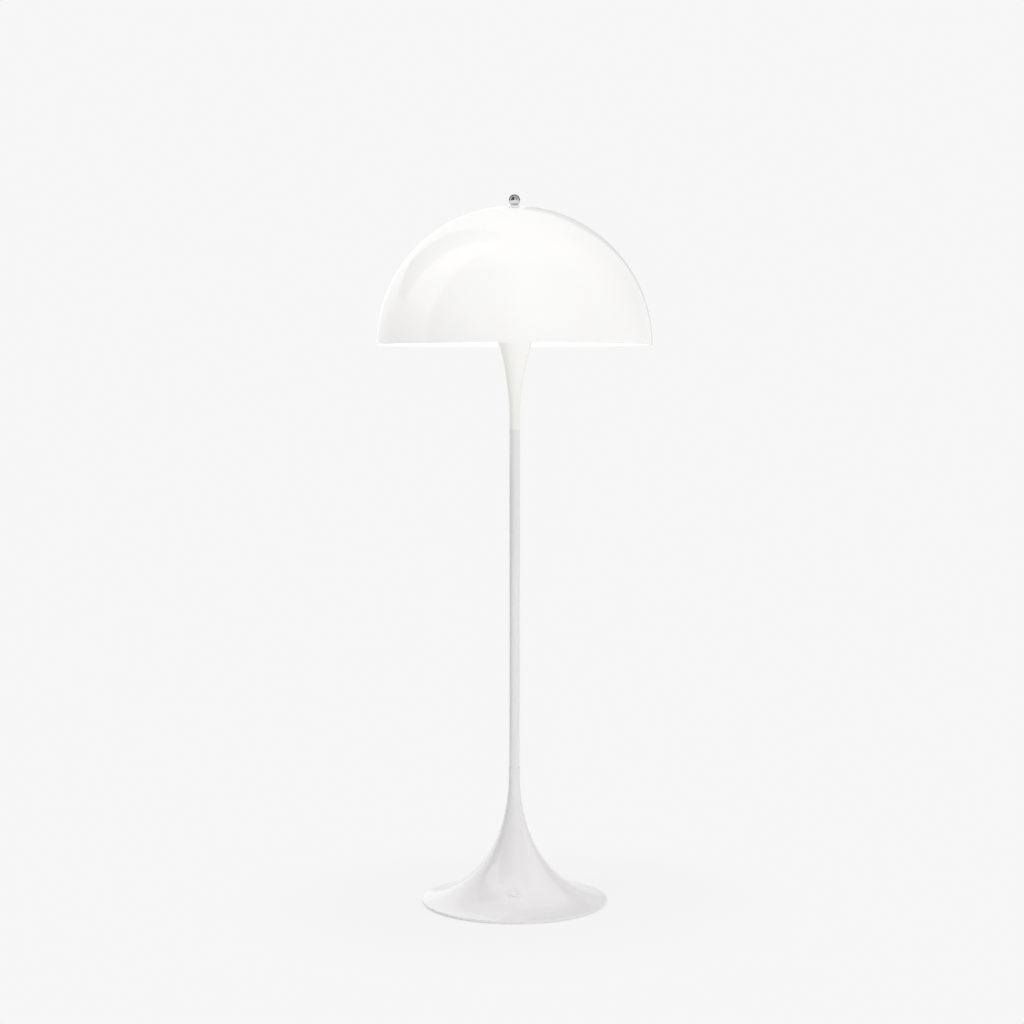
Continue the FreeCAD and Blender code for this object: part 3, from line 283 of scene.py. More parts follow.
def place_piece(label, mesh, body, slot, *replaced, finish_name=None):
    """Places a piece that rides on a body and stands for the solids it replaces."""
    old = bpy.data.objects.get(label)
    if old:
        bpy.data.objects.remove(old)
    piece = place_object(label, shaded(mesh))
    if not piece.data.polygons:
        raise RuntimeError(f"{label} has no faces")
    piece.data.materials.append(finish(finish_name or slot))
    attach(piece, body)
    if replaced:
        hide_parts(*replaced)
    return piece


def threaded(radius, depth, pitch, low, high, steps):
    """A rod with a V thread between two heights, closed at both ends."""
    mesh = bmesh.new()
    tip = mesh.verts.new((radius, 0, low - pitch))
    for reach, rise in ((radius - depth, pitch / 2), (radius, pitch)):
        tip = bmesh.ops.extrude_vert_indiv(mesh, verts=[tip])["verts"][0]
        tip.co = (reach, 0, low - pitch + rise)
    turns = math.ceil((high - low) / pitch) + 2
    bmesh.ops.spin(mesh, geom=mesh.verts[:] + mesh.edges[:], cent=(0, 0, 0), axis=UPRIGHT,
                   angle=FULL_TURN * turns, steps=steps * turns, dvec=(0, 0, pitch / steps))
    bmesh.ops.remove_doubles(mesh, verts=mesh.verts[:], dist=MERGE_DISTANCE)
    for height, side in ((low, -1), (high, 1)):
        bmesh.ops.bisect_plane(mesh, geom=mesh.verts[:] + mesh.edges[:] + mesh.faces[:],
                               dist=MERGE_DISTANCE, plane_co=(0, 0, height),
                               plane_no=(0, 0, side), clear_outer=True)
    bmesh.ops.holes_fill(mesh, edges=[edge for edge in mesh.edges if edge.is_boundary], sides=0)
    return seal(mesh)


def coil(radius, wire, low, high, turns, steps):
    """A round-wire spring about the Z axis with capped ends."""
    mesh = bmesh.new()
    bmesh.ops.create_circle(mesh, cap_ends=False, radius=wire,
                            segments=WIRE_STEPS,
                            matrix=Matrix.Translation((radius, 0, low + wire))
                            @ Matrix.Rotation(math.pi / 2, 4, "X"))
    rise = (high - low - 2 * wire) / (turns * steps)
    bmesh.ops.spin(mesh, geom=mesh.verts[:] + mesh.edges[:], cent=(0, 0, 0), axis=UPRIGHT,
                   angle=FULL_TURN * turns, steps=steps * turns, dvec=(0, 0, rise))
    bmesh.ops.holes_fill(mesh, edges=[edge for edge in mesh.edges if edge.is_boundary], sides=0)
    return seal(mesh)


def button_frame(foot):
    """Matrix of the button's own frame: origin on the flank, +Z out along the press axis."""
    joint = next(joint for joint in frame["joints"] if joint["name"] == "button_press")
    outwards = -Vector(joint["axis"])
    turn = UPRIGHT.rotation_difference(outwards).to_matrix().to_4x4()
    return Matrix.Translation((0, -foot.button_reach, foot.button_height)) @ turn


def moved(mesh, matrix):
    """The same mesh, moved and turned by a matrix."""
    bmesh.ops.transform(mesh, matrix=matrix, verts=mesh.verts[:])
    return mesh


# Finishes ----------------------------------------------------------------------------------------

def shader_group(label, inputs, outputs):
    """An empty shader group with its sockets."""
    group = bpy.data.node_groups.new(label, "ShaderNodeTree")
    for name, kind, default in inputs:
        socket = group.interface.new_socket(name, in_out="INPUT", socket_type=kind)
        socket.default_value = default
    for name, kind in outputs:
        group.interface.new_socket(name, in_out="OUTPUT", socket_type=kind)
    return group, group.nodes.new("NodeGroupInput"), group.nodes.new("NodeGroupOutput")


def mixed_colour(tree, factor, low, high):
    """Colour between two others; each input is a socket or a plain value."""
    mix = tree.nodes.new("ShaderNodeMix")
    mix.data_type = "RGBA"
    for value, socket in ((factor, mix.inputs["Factor"]), (low, mix.inputs[MIX_LOW]),
                          (high, mix.inputs[MIX_HIGH])):
        if isinstance(value, bpy.types.NodeSocket):
            tree.links.new(value, socket)
        else:
            socket.default_value = value
    return mix.outputs[MIX_RESULT]


def product(tree, first, second):
    """Product of two number sockets."""
    times = tree.nodes.new("ShaderNodeMath")
    times.operation = "MULTIPLY"
    tree.links.new(first, times.inputs[0])
    tree.links.new(second, times.inputs[1])
    return times.outputs[0]


def grain_group():
    """Fine grain and broad patches of a surface, stretched along its grain."""
    label = "Surface Grain"
    if label in bpy.data.node_groups:
        return bpy.data.node_groups[label]
    group, given, result = shader_group(label, (
        ("Vector", "NodeSocketVector", (0, 0, 0)),
        ("Stretch", "NodeSocketVector", (1, 1, 1)),
        ("Fine Scale", "NodeSocketFloat", 400),
        ("Patch Scale", "NodeSocketFloat", 6),
    ), (("Fine", "NodeSocketFloat"), ("Patches", "NodeSocketFloat")))
    stretch = group.nodes.new("ShaderNodeVectorMath")
    stretch.operation = "MULTIPLY"
    group.links.new(given.outputs["Vector"], stretch.inputs[0])
    group.links.new(given.outputs["Stretch"], stretch.inputs[1])
    for target, scale, detail in (("Fine", "Fine Scale", 2), ("Patches", "Patch Scale", 3)):
        noise = group.nodes.new("ShaderNodeTexNoise")
        noise.inputs["Detail"].default_value = detail
        group.links.new(stretch.outputs["Vector"], noise.inputs["Vector"])
        group.links.new(given.outputs[scale], noise.inputs["Scale"])
        group.links.new(noise.outputs["Fac"], result.inputs[target])
    return group


def glow_group():
    """Colour of the light that comes through, from a low height to a high one."""
    label = "Lit From Inside"
    if label in bpy.data.node_groups:
        return bpy.data.node_groups[label]
    group, given, result = shader_group(label, (
        ("Vector", "NodeSocketVector", (0, 0, 0)),
        ("Low", "NodeSocketFloat", 0),
        ("High", "NodeSocketFloat", 1),
        ("Low Colour", "NodeSocketColor", (0, 0, 0, 1)),
        ("High Colour", "NodeSocketColor", (1, 1, 1, 1)),
        ("Inside Colour", "NodeSocketColor", (1, 1, 1, 1)),
        ("Centre Height", "NodeSocketFloat", 0),
        ("Inside Radius", "NodeSocketFloat", 0),
    ), (("Colour", "NodeSocketColor"),))
    parts = group.nodes.new("ShaderNodeSeparateXYZ")
    group.links.new(given.outputs["Vector"], parts.inputs["Vector"])
    climb = group.nodes.new("ShaderNodeMapRange")
    climb.interpolation_type = "SMOOTHSTEP"
    group.links.new(parts.outputs["Z"], climb.inputs["Value"])
    group.links.new(given.outputs["Low"], climb.inputs["From Min"])
    group.links.new(given.outputs["High"], climb.inputs["From Max"])
    outside = mixed_colour(group, climb.outputs["Result"], given.outputs["Low Colour"],
                           given.outputs["High Colour"])
    drop = group.nodes.new("ShaderNodeCombineXYZ")
    group.links.new(given.outputs["Centre Height"], drop.inputs["Z"])
    reach = group.nodes.new("ShaderNodeVectorMath")
    reach.operation = "DISTANCE"
    group.links.new(given.outputs["Vector"], reach.inputs[0])
    group.links.new(drop.outputs["Vector"], reach.inputs[1])
    inner = group.nodes.new("ShaderNodeMath")
    inner.operation = "LESS_THAN"
    group.links.new(reach.outputs["Value"], inner.inputs[0])
    group.links.new(given.outputs["Inside Radius"], inner.inputs[1])
    both = mixed_colour(group, inner.outputs["Value"], outside, given.outputs["Inside Colour"])
    group.links.new(both, result.inputs["Colour"])
    return group


def placed_group(material, group, **values):
    """A group in a material, fed with Object coordinates."""
    nodes, links = material.node_tree.nodes, material.node_tree.links
    where = nodes.get("Texture Coordinate") or nodes.new("ShaderNodeTexCoord")
    node = nodes.new("ShaderNodeGroup")
    node.node_tree = group
    links.new(where.outputs["Object"], node.inputs["Vector"])
    for name, value in values.items():
        node.inputs[name.replace("_", " ")].default_value = value
    return node


def surface(label, base, roughness, tint=0.03, rough_range=0.06, bump=0.02, bump_depth=0.0002,
            stretch=(1, 1, 1), fine=400, patch=6, **constants):
    """A material whose colour, roughness and relief vary a little, as its finish does."""
    material = bpy.data.materials.new(label)
    material.use_nodes = True
    nodes, links = material.node_tree.nodes, material.node_tree.links
    shader = nodes["Principled BSDF"]
    grain = placed_group(material, grain_group(), Stretch=stretch, Fine_Scale=fine,
                         Patch_Scale=patch)
    darker = (*(channel * (1 - tint) for channel in base), 1)
    lighter = (*(min(1, channel * (1 + tint)) for channel in base), 1)
    links.new(mixed_colour(material.node_tree, grain.outputs["Patches"], darker, lighter),
              shader.inputs["Base Color"])
    rough = nodes.new("ShaderNodeMapRange")
    rough.inputs["To Min"].default_value = max(0, roughness - rough_range)
    rough.inputs["To Max"].default_value = roughness + rough_range
    links.new(grain.outputs["Fine"], rough.inputs["Value"])
    links.new(rough.outputs["Result"], shader.inputs["Roughness"])
    relief = nodes.new("ShaderNodeBump")
    relief.inputs["Strength"].default_value = bump
    relief.inputs["Distance"].default_value = bump_depth
    links.new(grain.outputs["Fine"], relief.inputs["Height"])
    links.new(relief.outputs["Normal"], shader.inputs["Normal"])
    for name, value in constants.items():
        shader.inputs[name.replace("_", " ")].default_value = value
    return material


def lit(material, strength, **values):
    """Adds the light that comes through the material."""
    shader = material.node_tree.nodes["Principled BSDF"]
    glow = placed_group(material, glow_group(), **values)
    material.node_tree.links.new(glow.outputs["Colour"], shader.inputs["Emission Color"])
    shader.inputs["Emission Strength"].default_value = strength
    return material


def opal_acrylic():
    """Shade: evenly lit outside, bright inside."""
    colours, shade = bpy.context.scene.lamp_colours, bpy.context.scene.lamp_shade
    rim = bottom("shade")
    return lit(
        surface("Opal acrylic", colours.acrylic, 0.10, tint=0.01, rough_range=0.02, bump=0.01,
                fine=120, patch=3, IOR=1.49),
        colours.glow * 0.2, Low=rim, High=rim + shade.radius * 0.85,
        Low_Colour=(0.50, 0.49, 0.47, 1), High_Colour=(0.44, 0.43, 0.40, 1),
        Inside_Colour=(1.75, 1.71, 1.5, 1), Centre_Height=rim,
        Inside_Radius=shade.radius - shade.wall / 2)


def opal_neck():
    """Neck and bowl: acrylic dimmed as painted shade, then lit from inside, more towards the bulbs."""
    colours = bpy.context.scene.lamp_colours
    # Painted shade: the neck's copy of the acrylic is dimmed to about 72 percent and tinted a little warm, so its
    # glow, not the lamps, sets its brightness.
    dimmed_acrylic = [channel * share for channel, share in zip(colours.acrylic, (0.72, 0.718, 0.71))]
    return lit(
        surface("Opal neck", dimmed_acrylic, 0.12, tint=0.01, rough_range=0.02, bump=0.01,
                fine=120, patch=3, IOR=1.49),
        colours.glow * 0.2, Low=bottom("reflector_trumpet"), High=bottom("shade"),
        Low_Colour=(1.1, 1.08, 1.0, 1), High_Colour=(1.32, 1.32, 1.3, 1))


def opal_glass():
    """Lit bulbs, warmer towards their caps."""
    return lit(
        surface("Opal glass", (0.93, 0.92, 0.89), 0.3, tint=0.01, bump=0.01, IOR=1.5),
        0.9, Low=top("lampholder_1"), High=top("bulb_1_glass"),
        Low_Colour=(0.6, 0.5, 0.36, 1), High_Colour=(1, 0.95, 0.84, 1))


def white_lacquer():
    """Gloss lacquer of the tube and foot."""
    return surface("White lacquer", bpy.context.scene.lamp_colours.lacquer, 0.16, tint=0.008,
                   rough_range=0.03, bump=0.03, bump_depth=0.0001, fine=260, patch=4,
                   IOR=1.5, Coat_Weight=0.4, Coat_Roughness=0.06)


def chrome():
    """Mirror finish with a painted dark reflection: the colour of its top half darkens towards its edge, standing
    for a dark room that it would mirror.
    """
    material = surface("Chrome", bpy.context.scene.lamp_colours.metal, 0.05, tint=0.01,
                       rough_range=0.02, bump=0, fine=900, patch=40, Metallic=1)
    tree = material.node_tree
    shader = tree.nodes["Principled BSDF"]
    # Painted reflection: the top half of the ball is coloured darker towards its edge, whatever the lamps do.
    facing = tree.nodes.new("ShaderNodeLayerWeight")
    facing.inputs["Blend"].default_value = 0.73
    centre = (bottom("finial_knob") + top("finial_knob")) / 2
    # The glow group serves here only as a mask: 1 on the ball's top half, 0.1 below it.
    painted_reflection_top_mask = placed_group(material, glow_group(), Low=centre - 0.004, High=centre,
                         Low_Colour=(0.1, 0.1, 0.1, 1))
    painted_reflection_share = product(tree, facing.outputs["Facing"], painted_reflection_top_mask.outputs["Colour"])
    plain = shader.inputs["Base Color"].links[0].from_socket
    # Near-black colour of the painted reflection.
    tree.links.new(mixed_colour(tree, painted_reflection_share, plain, (0.02, 0.02, 0.022, 1)),
                   shader.inputs["Base Color"])
    # The grey specular tint also dims the edge reflections, adding to the painted dark edge.
    shader.inputs["Specular Tint"].default_value = (0.2, 0.2, 0.2, 1)
    return material


def satin_chrome():
    """Brushed finish of the washer."""
    return surface("Satin chrome", bpy.context.scene.lamp_colours.metal, 0.42, tint=0.01,
                   rough_range=0.04, bump=0.02, fine=900, stretch=(1, 1, 10), Metallic=0.3)


METAL = {"Metallic": 1, "bump": 0.05}
FINISHES = {
    "opal_acrylic": opal_acrylic,
    "opal_neck": opal_neck,
    "opal_glass": opal_glass,
    "white_lacquer": white_lacquer,
    "chrome": chrome,
    "satin_chrome": satin_chrome,
    "white_plastic": lambda: surface("White plastic", (0.80, 0.79, 0.79), 0.32, tint=0.015,
                                     fine=900, bump=0.04, IOR=1.5),
    "black_plastic": lambda: surface("Black plastic", (0.03, 0.03, 0.033), 0.45, tint=0.1,
                                     fine=1500, bump=0.15, IOR=1.5),
    "circuit_board": lambda: surface("Circuit board", (0.03, 0.16, 0.06), 0.35, tint=0.12,
                                     fine=700, patch=90),
    "lead_sheath": lambda: surface("Lead sheath", (0.72, 0.71, 0.69), 0.5, tint=0.03, fine=1200),
    "clear_rubber": lambda: surface("Clear rubber", (0.62, 0.62, 0.61), 0.55, tint=0.03,
                                    fine=900, bump=0.08),
    "black_rubber": lambda: surface("Black rubber", (0.025, 0.025, 0.025), 0.6, tint=0.1,
                                    fine=900, bump=0.1),
    "aluminium": lambda: surface("Aluminium", (0.78, 0.78, 0.79), 0.3, tint=0.03,
                                 stretch=(1, 1, 14), **METAL),
    "steel": lambda: surface("Zinc-plated steel", (0.60, 0.61, 0.62), 0.32, tint=0.06,
                             stretch=(1, 1, 8), patch=60, **METAL),
    "brass": lambda: surface("Turned brass", (0.78, 0.58, 0.27), 0.26, tint=0.05,
                             stretch=(1, 1, 12), patch=50, **METAL),
    "cast_iron": lambda: surface("Cast iron", (0.07, 0.07, 0.075), 0.75, tint=0.25, fine=500,
                                 patch=25, bump=0.5, bump_depth=0.0006),
}


def finish(slot):
    """The material of one finish, made the first time that it is asked for."""
    made = bpy.data.materials.get("finish_" + slot)
    if not made:
        made = FINISHES[slot]()
        made.name = "finish_" + slot
    return made


def refinish(slot, *nodes):
    """Gives solids that are shown as they are a finish of their own."""
    for name in nodes:
        materials = frame["nodes"][name].data.materials
        materials.clear()
        materials.append(finish(slot))


# Operators ---------------------------------------------------------------------------------------

class LAMP_OT_solids(bpy.types.Operator):
    """Gives every solid of the frame the finish of its material slot"""
    bl_idname = "lamp.solids"
    bl_label = "Finish the solids"
    bl_options = {"REGISTER", "UNDO"}

    def execute(self, context):
        for part in frame["record"]["subparts"]:
            refinish(part["material_slot"], part["node"])
        return {"FINISHED"}


class LAMP_OT_shade(bpy.types.Operator):
    """Dome of opal acrylic with a rounded rim and a hole in its crown"""
    bl_idname = "lamp.shade"
    bl_label = "Shade"
    bl_options = {"REGISTER", "UNDO"}

    DOME_STEPS = 56

    def execute(self, context):
        scene = context.scene
        sizes, rim = scene.lamp_shade, bottom("shade")
        inner = sizes.radius - sizes.wall
        outer_turn = math.acos(sizes.hole / sizes.radius)
        inner_turn = math.acos(sizes.hole / inner)
        dome = Outline(sizes.radius, rim).round_here(sizes.rim_round)
        dome.arc(0, rim, -outer_turn, self.DOME_STEPS)
        dome.to(sizes.hole, rim + inner * math.sin(inner_turn))
        dome.arc(0, rim, inner_turn, self.DOME_STEPS).round_here(sizes.rim_round)
        place_piece("shade_dome", dome.spun(scene.lamp_detail.round_steps), "shade",
                    "opal_acrylic", "shade")
        return {"FINISHED"}


class LAMP_OT_finial(bpy.types.Operator):
    """Chrome ball and the washer that it presses on the crown"""
    bl_idname = "lamp.finial"
    bl_label = "Ball and washer"
    bl_options = {"REGISTER", "UNDO"}

    BALL_STEPS = 40
    BORE_SHARE = 0.15  # how far the bore goes past the ball's centre, as a share of its radius

    def execute(self, context):
        scene = context.scene
        sizes, steps = scene.lamp_shade, scene.lamp_detail.fine_steps
        seat, hole = bottom("finial_knob"), sizes.stud + sizes.thread_fit
        centre = seat + sizes.ball_drop
        seat_radius = math.sqrt(sizes.ball ** 2 - sizes.ball_drop ** 2)
        turn = math.pi / 2 + math.asin(sizes.ball_drop / sizes.ball)
        bore = centre + sizes.ball * self.BORE_SHARE
        ball = Outline(hole, seat).to(seat_radius, seat, sizes.seat_round)
        ball.arc(0, centre, -turn, self.BALL_STEPS)
        ball.to(0, bore).to(hole, bore)
        place_piece("chrome_ball", ball.spun(steps), "finial_knob", "chrome", "finial_knob")
        low, high = bottom("finial_washer"), top("finial_washer")
        bore = sizes.stud + 2 * sizes.thread_fit
        washer = Outline(bore, low).to(sizes.washer, low, sizes.washer_round)
        washer.to(sizes.washer, high, sizes.washer_round).to(bore, high)
        place_piece("chrome_washer", washer.spun(steps), "finial_washer", "chrome",
                    "finial_washer", finish_name="satin_chrome")
        return {"FINISHED"}


class LAMP_OT_neck(bpy.types.Operator):
    """Glowing neck that opens into the bowl under the bulbs"""
    bl_idname = "lamp.neck"
    bl_label = "Neck and bowl"
    bl_options = {"REGISTER", "UNDO"}

    def execute(self, context):
        scene = context.scene
        sizes, low = scene.lamp_stem, bottom("reflector_trumpet")
        neck = Outline(sizes.tube, low).round_here(sizes.edge_round)
        neck.to(sizes.tube, low + sizes.neck_straight)
        bends, leaning = [], 0
        for bend, turn, steps in ((sizes.low_bend, sizes.low_turn, 20),
                                  (sizes.mid_bend, sizes.mid_turn, 18),
                                  (sizes.top_bend, sizes.top_turn, 12)):
            centre = (neck.tip.co.x + bend * math.cos(leaning),
                      neck.tip.co.z - bend * math.sin(leaning))
            bends.append((centre, turn, steps))
            leaning += turn
            neck.arc(*centre, turn, steps)
        neck.round_here(sizes.lip_round)
        neck.to(neck.tip.co.x - sizes.neck_wall * math.cos(leaning),
                neck.tip.co.z + sizes.neck_wall * math.sin(leaning), sizes.lip_round)
        for centre, turn, steps in reversed(bends):
            neck.arc(*centre, -turn, steps)
        neck.to(neck.tip.co.x, low)
        place_piece("neck_and_bowl", neck.spun(scene.lamp_detail.round_steps), "lamp",
                    "opal_acrylic", "reflector_trumpet", finish_name="opal_neck")
        return {"FINISHED"}


class LAMP_OT_stem(bpy.types.Operator):
    """White tube between the foot and the neck"""
    bl_idname = "lamp.stem"
    bl_label = "Tube"
    bl_options = {"REGISTER", "UNDO"}

    def execute(self, context):
        scene = context.scene
        sizes = scene.lamp_stem
        low, high, bore = bottom("stem_tube"), top("stem_tube"), sizes.tube - sizes.tube_wall
        tube = Outline(bore, low).to(sizes.tube, low, sizes.edge_round)
        tube.to(sizes.tube, high, sizes.edge_round).to(bore, high)
        place_piece("tube", tube.spun(scene.lamp_detail.fine_steps), "lamp", "white_lacquer",
                    "stem_tube")
        return {"FINISHED"}


class LAMP_OT_foot(bpy.types.Operator):
    """Soft ring that the foot stands on"""
    bl_idname = "lamp.foot"
    bl_label = "Soft ring"
    bl_options = {"REGISTER", "UNDO"}

    def execute(self, context):
        scene = context.scene
        sizes, outer = scene.lamp_foot, half_width("foot_ring")
        low, high = bottom("foot_ring"), top("foot_ring")
        ring = Outline(sizes.ring_inner, low).round_here(sizes.ring_round)
        ring.to(outer, low, sizes.ring_round).to(outer, high).to(sizes.ring_inner, high)
        place_piece("soft_ring", ring.spun(scene.lamp_detail.round_steps), "lamp",
                    "clear_rubber", "foot_ring")
        return {"FINISHED"}


class LAMP_OT_button(bpy.types.Operator):
    """Bezel, button and return spring, made upright and then leant with the flank"""
    bl_idname = "lamp.button"
    bl_label = "Foot button"
    bl_options = {"REGISTER", "UNDO"}

    DISH_FLOOR = 0.9   # radius at which the dish's slope ends, as a share of its edge's radius
    DISH_CENTRE = 1.3  # depth of the dish at its centre, as a share of its depth at that radius
    COIL_STEPS = 24

    def execute(self, context):
        scene = context.scene
        sizes, steps = scene.lamp_foot, scene.lamp_detail.fine_steps
        lean = button_frame(sizes)
        bore, barrel_bore = sizes.button + sizes.gap, sizes.button_lip + sizes.gap
        bezel = Outline(bore, sizes.flange_rise).round_here(sizes.bore_round)
        bezel.to(bore, -sizes.shoulder).to(barrel_bore, -sizes.shoulder)
        bezel.to(barrel_bore, -sizes.barrel_depth).to(sizes.barrel, -sizes.barrel_depth)
        bezel.to(sizes.barrel, -sizes.flange_seat).to(sizes.flange, -sizes.flange_seat)
        bezel.to(sizes.flange, sizes.flange_rise, sizes.flange_rise)
        place_piece("bezel", moved(bezel.spun(steps), lean), "lamp", "white_plastic",
                    "button_bezel")

        lip_top = -sizes.shoulder - sizes.seat_gap
        lip_foot, roof = lip_top - sizes.button_lip_height, sizes.button_rise - sizes.button_roof
        post, post_foot = sizes.button_post, sizes.button_post_end - sizes.barrel_depth
        skirt = sizes.button - sizes.button_wall
        dish_edge = sizes.button - 2 * sizes.button_crown
        cap = Outline(0, post_foot).to(post, post_foot).to(post, roof).to(skirt, roof)
        cap.to(skirt, lip_foot).to(sizes.button_lip, lip_foot).to(sizes.button_lip, lip_top)
        cap.to(sizes.button, lip_top).to(sizes.button, sizes.button_rise, sizes.button_crown)
        cap.to(dish_edge, sizes.button_rise, sizes.dish_round)
        cap.to(dish_edge * self.DISH_FLOOR, sizes.button_rise - sizes.button_dish,
               sizes.dish_round)
        cap.to(0, sizes.button_rise - sizes.button_dish * self.DISH_CENTRE)
        place_piece("button", moved(cap.spun(steps), lean), "button", "white_plastic",
                    "button_cap")

        low, high = sizes.seat_gap - sizes.barrel_depth, roof - sizes.seat_gap
        wound = coil(sizes.spring, sizes.spring_wire, low, high, sizes.spring_turns,
                     self.COIL_STEPS)
        spring = place_piece("return_spring", moved(wound, lean), "lamp", "steel",
                             "button_spring")
        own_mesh(spring)
        return {"FINISHED"}


class LAMP_OT_bulbs(bpy.types.Operator):
    """Three opal bulbs in their lampholders"""
    bl_idname = "lamp.bulbs"
    bl_label = "Bulbs and holders"
    bl_options = {"REGISTER", "UNDO"}

    GLOBE_STEPS = 40
    BAND_REACH = 0.001  # how far a groove's middle may lie from the holder's middle height
    OUTER_SHARE = 0.9   # share of the holder's radius beyond which a face is on its outside

    def holder(self, sizes, low, high, steps):
        """A sleeve with a bevelled mouth and a band of finger grooves."""
        bore, floor, well_floor = sizes.holder_bore, low + sizes.floor, low + sizes.well_floor
        sleeve = Outline(sizes.nipple, low).to(sizes.holder, low, sizes.foot_round)
        sleeve.to(sizes.holder, low + sizes.band_margin)
        sleeve.to(sizes.holder, high - sizes.band_margin)
        sleeve.to(sizes.holder, high - sizes.mouth_bevel)
        sleeve.to(sizes.holder - sizes.mouth_bevel, high, sizes.mouth_round)
        sleeve.to(bore, high, sizes.mouth_round)
        sleeve.to(bore, floor).to(sizes.well, floor).to(sizes.well, well_floor)
        sleeve.to(sizes.nipple, well_floor)
        mesh = sleeve.spun(steps)
        band = [face for face in mesh.faces
                if abs(face.calc_center_median().z - (low + high) / 2) < self.BAND_REACH
                and face.calc_center_median().xy.length > sizes.holder * self.OUTER_SHARE]
        band.sort(key=lambda face: math.atan2(*face.calc_center_median().xy))
        bmesh.ops.inset_individual(mesh, faces=band[::2], thickness=sizes.groove_inset,
                                   depth=-sizes.groove)
        return mesh

    def globe(self, sizes, low, mouth, high, steps):
        """Neck and globe in one skin of even thickness."""
        radius, wall = sizes.globe, sizes.globe_wall
        centre, shoulder = high - sizes.globe, sizes.shoulder
        glass = Outline(sizes.neck, low).to(sizes.neck, mouth, sizes.neck_round)
        glass.to(radius * math.cos(shoulder), centre - radius * math.sin(shoulder),
                 sizes.neck_round)
        glass.arc(0, centre, -math.pi / 2 - shoulder, self.GLOBE_STEPS)
        glass.to(0, high - wall).arc(0, centre, math.pi / 2 + shoulder, self.GLOBE_STEPS)
        glass.to(sizes.neck - wall, mouth).to(sizes.neck - wall, low)
        return glass.spun(steps)

    def execute(self, context):
        scene = context.scene
        sizes, steps = scene.lamp_bulbs, scene.lamp_detail.fine_steps
        for place in (1, 2, 3):
            holder, glass = f"lampholder_{place}", f"bulb_{place}_glass"
            low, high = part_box(holder)
            stand = Matrix.Translation(((low.x + high.x) / 2, (low.y + high.y) / 2, 0))
            sleeve = self.holder(sizes, low.z, high.z, steps)
            place_piece(f"holder_sleeve_{place}", moved(sleeve, stand), "lamp",
                        "white_plastic", holder)
            globe = self.globe(sizes, bottom(glass), high.z, top(glass), steps)
            place_piece(f"bulb_globe_{place}", moved(globe, stand), "lamp", "opal_glass", glass)
        return {"FINISHED"}


class LAMP_OT_stud(bpy.types.Operator):
    """Threaded stud that runs from the lampholder plate to the ball"""
    bl_idname = "lamp.stud"
    bl_label = "Stud"
    bl_options = {"REGISTER", "UNDO"}

    THREAD_DEPTH = 0.3  # as a share of the pitch
    THREAD_STEPS = 18

    def execute(self, context):
        scene = context.scene
        sizes = scene.lamp_shade
        rod = threaded(sizes.stud, sizes.stud_pitch * self.THREAD_DEPTH, sizes.stud_pitch,
                       bottom("shade_stud"), top("shade_stud"), self.THREAD_STEPS)
        place_piece("threaded_stud", rod, "lamp", "steel", "shade_stud")
        return {"FINISHED"}


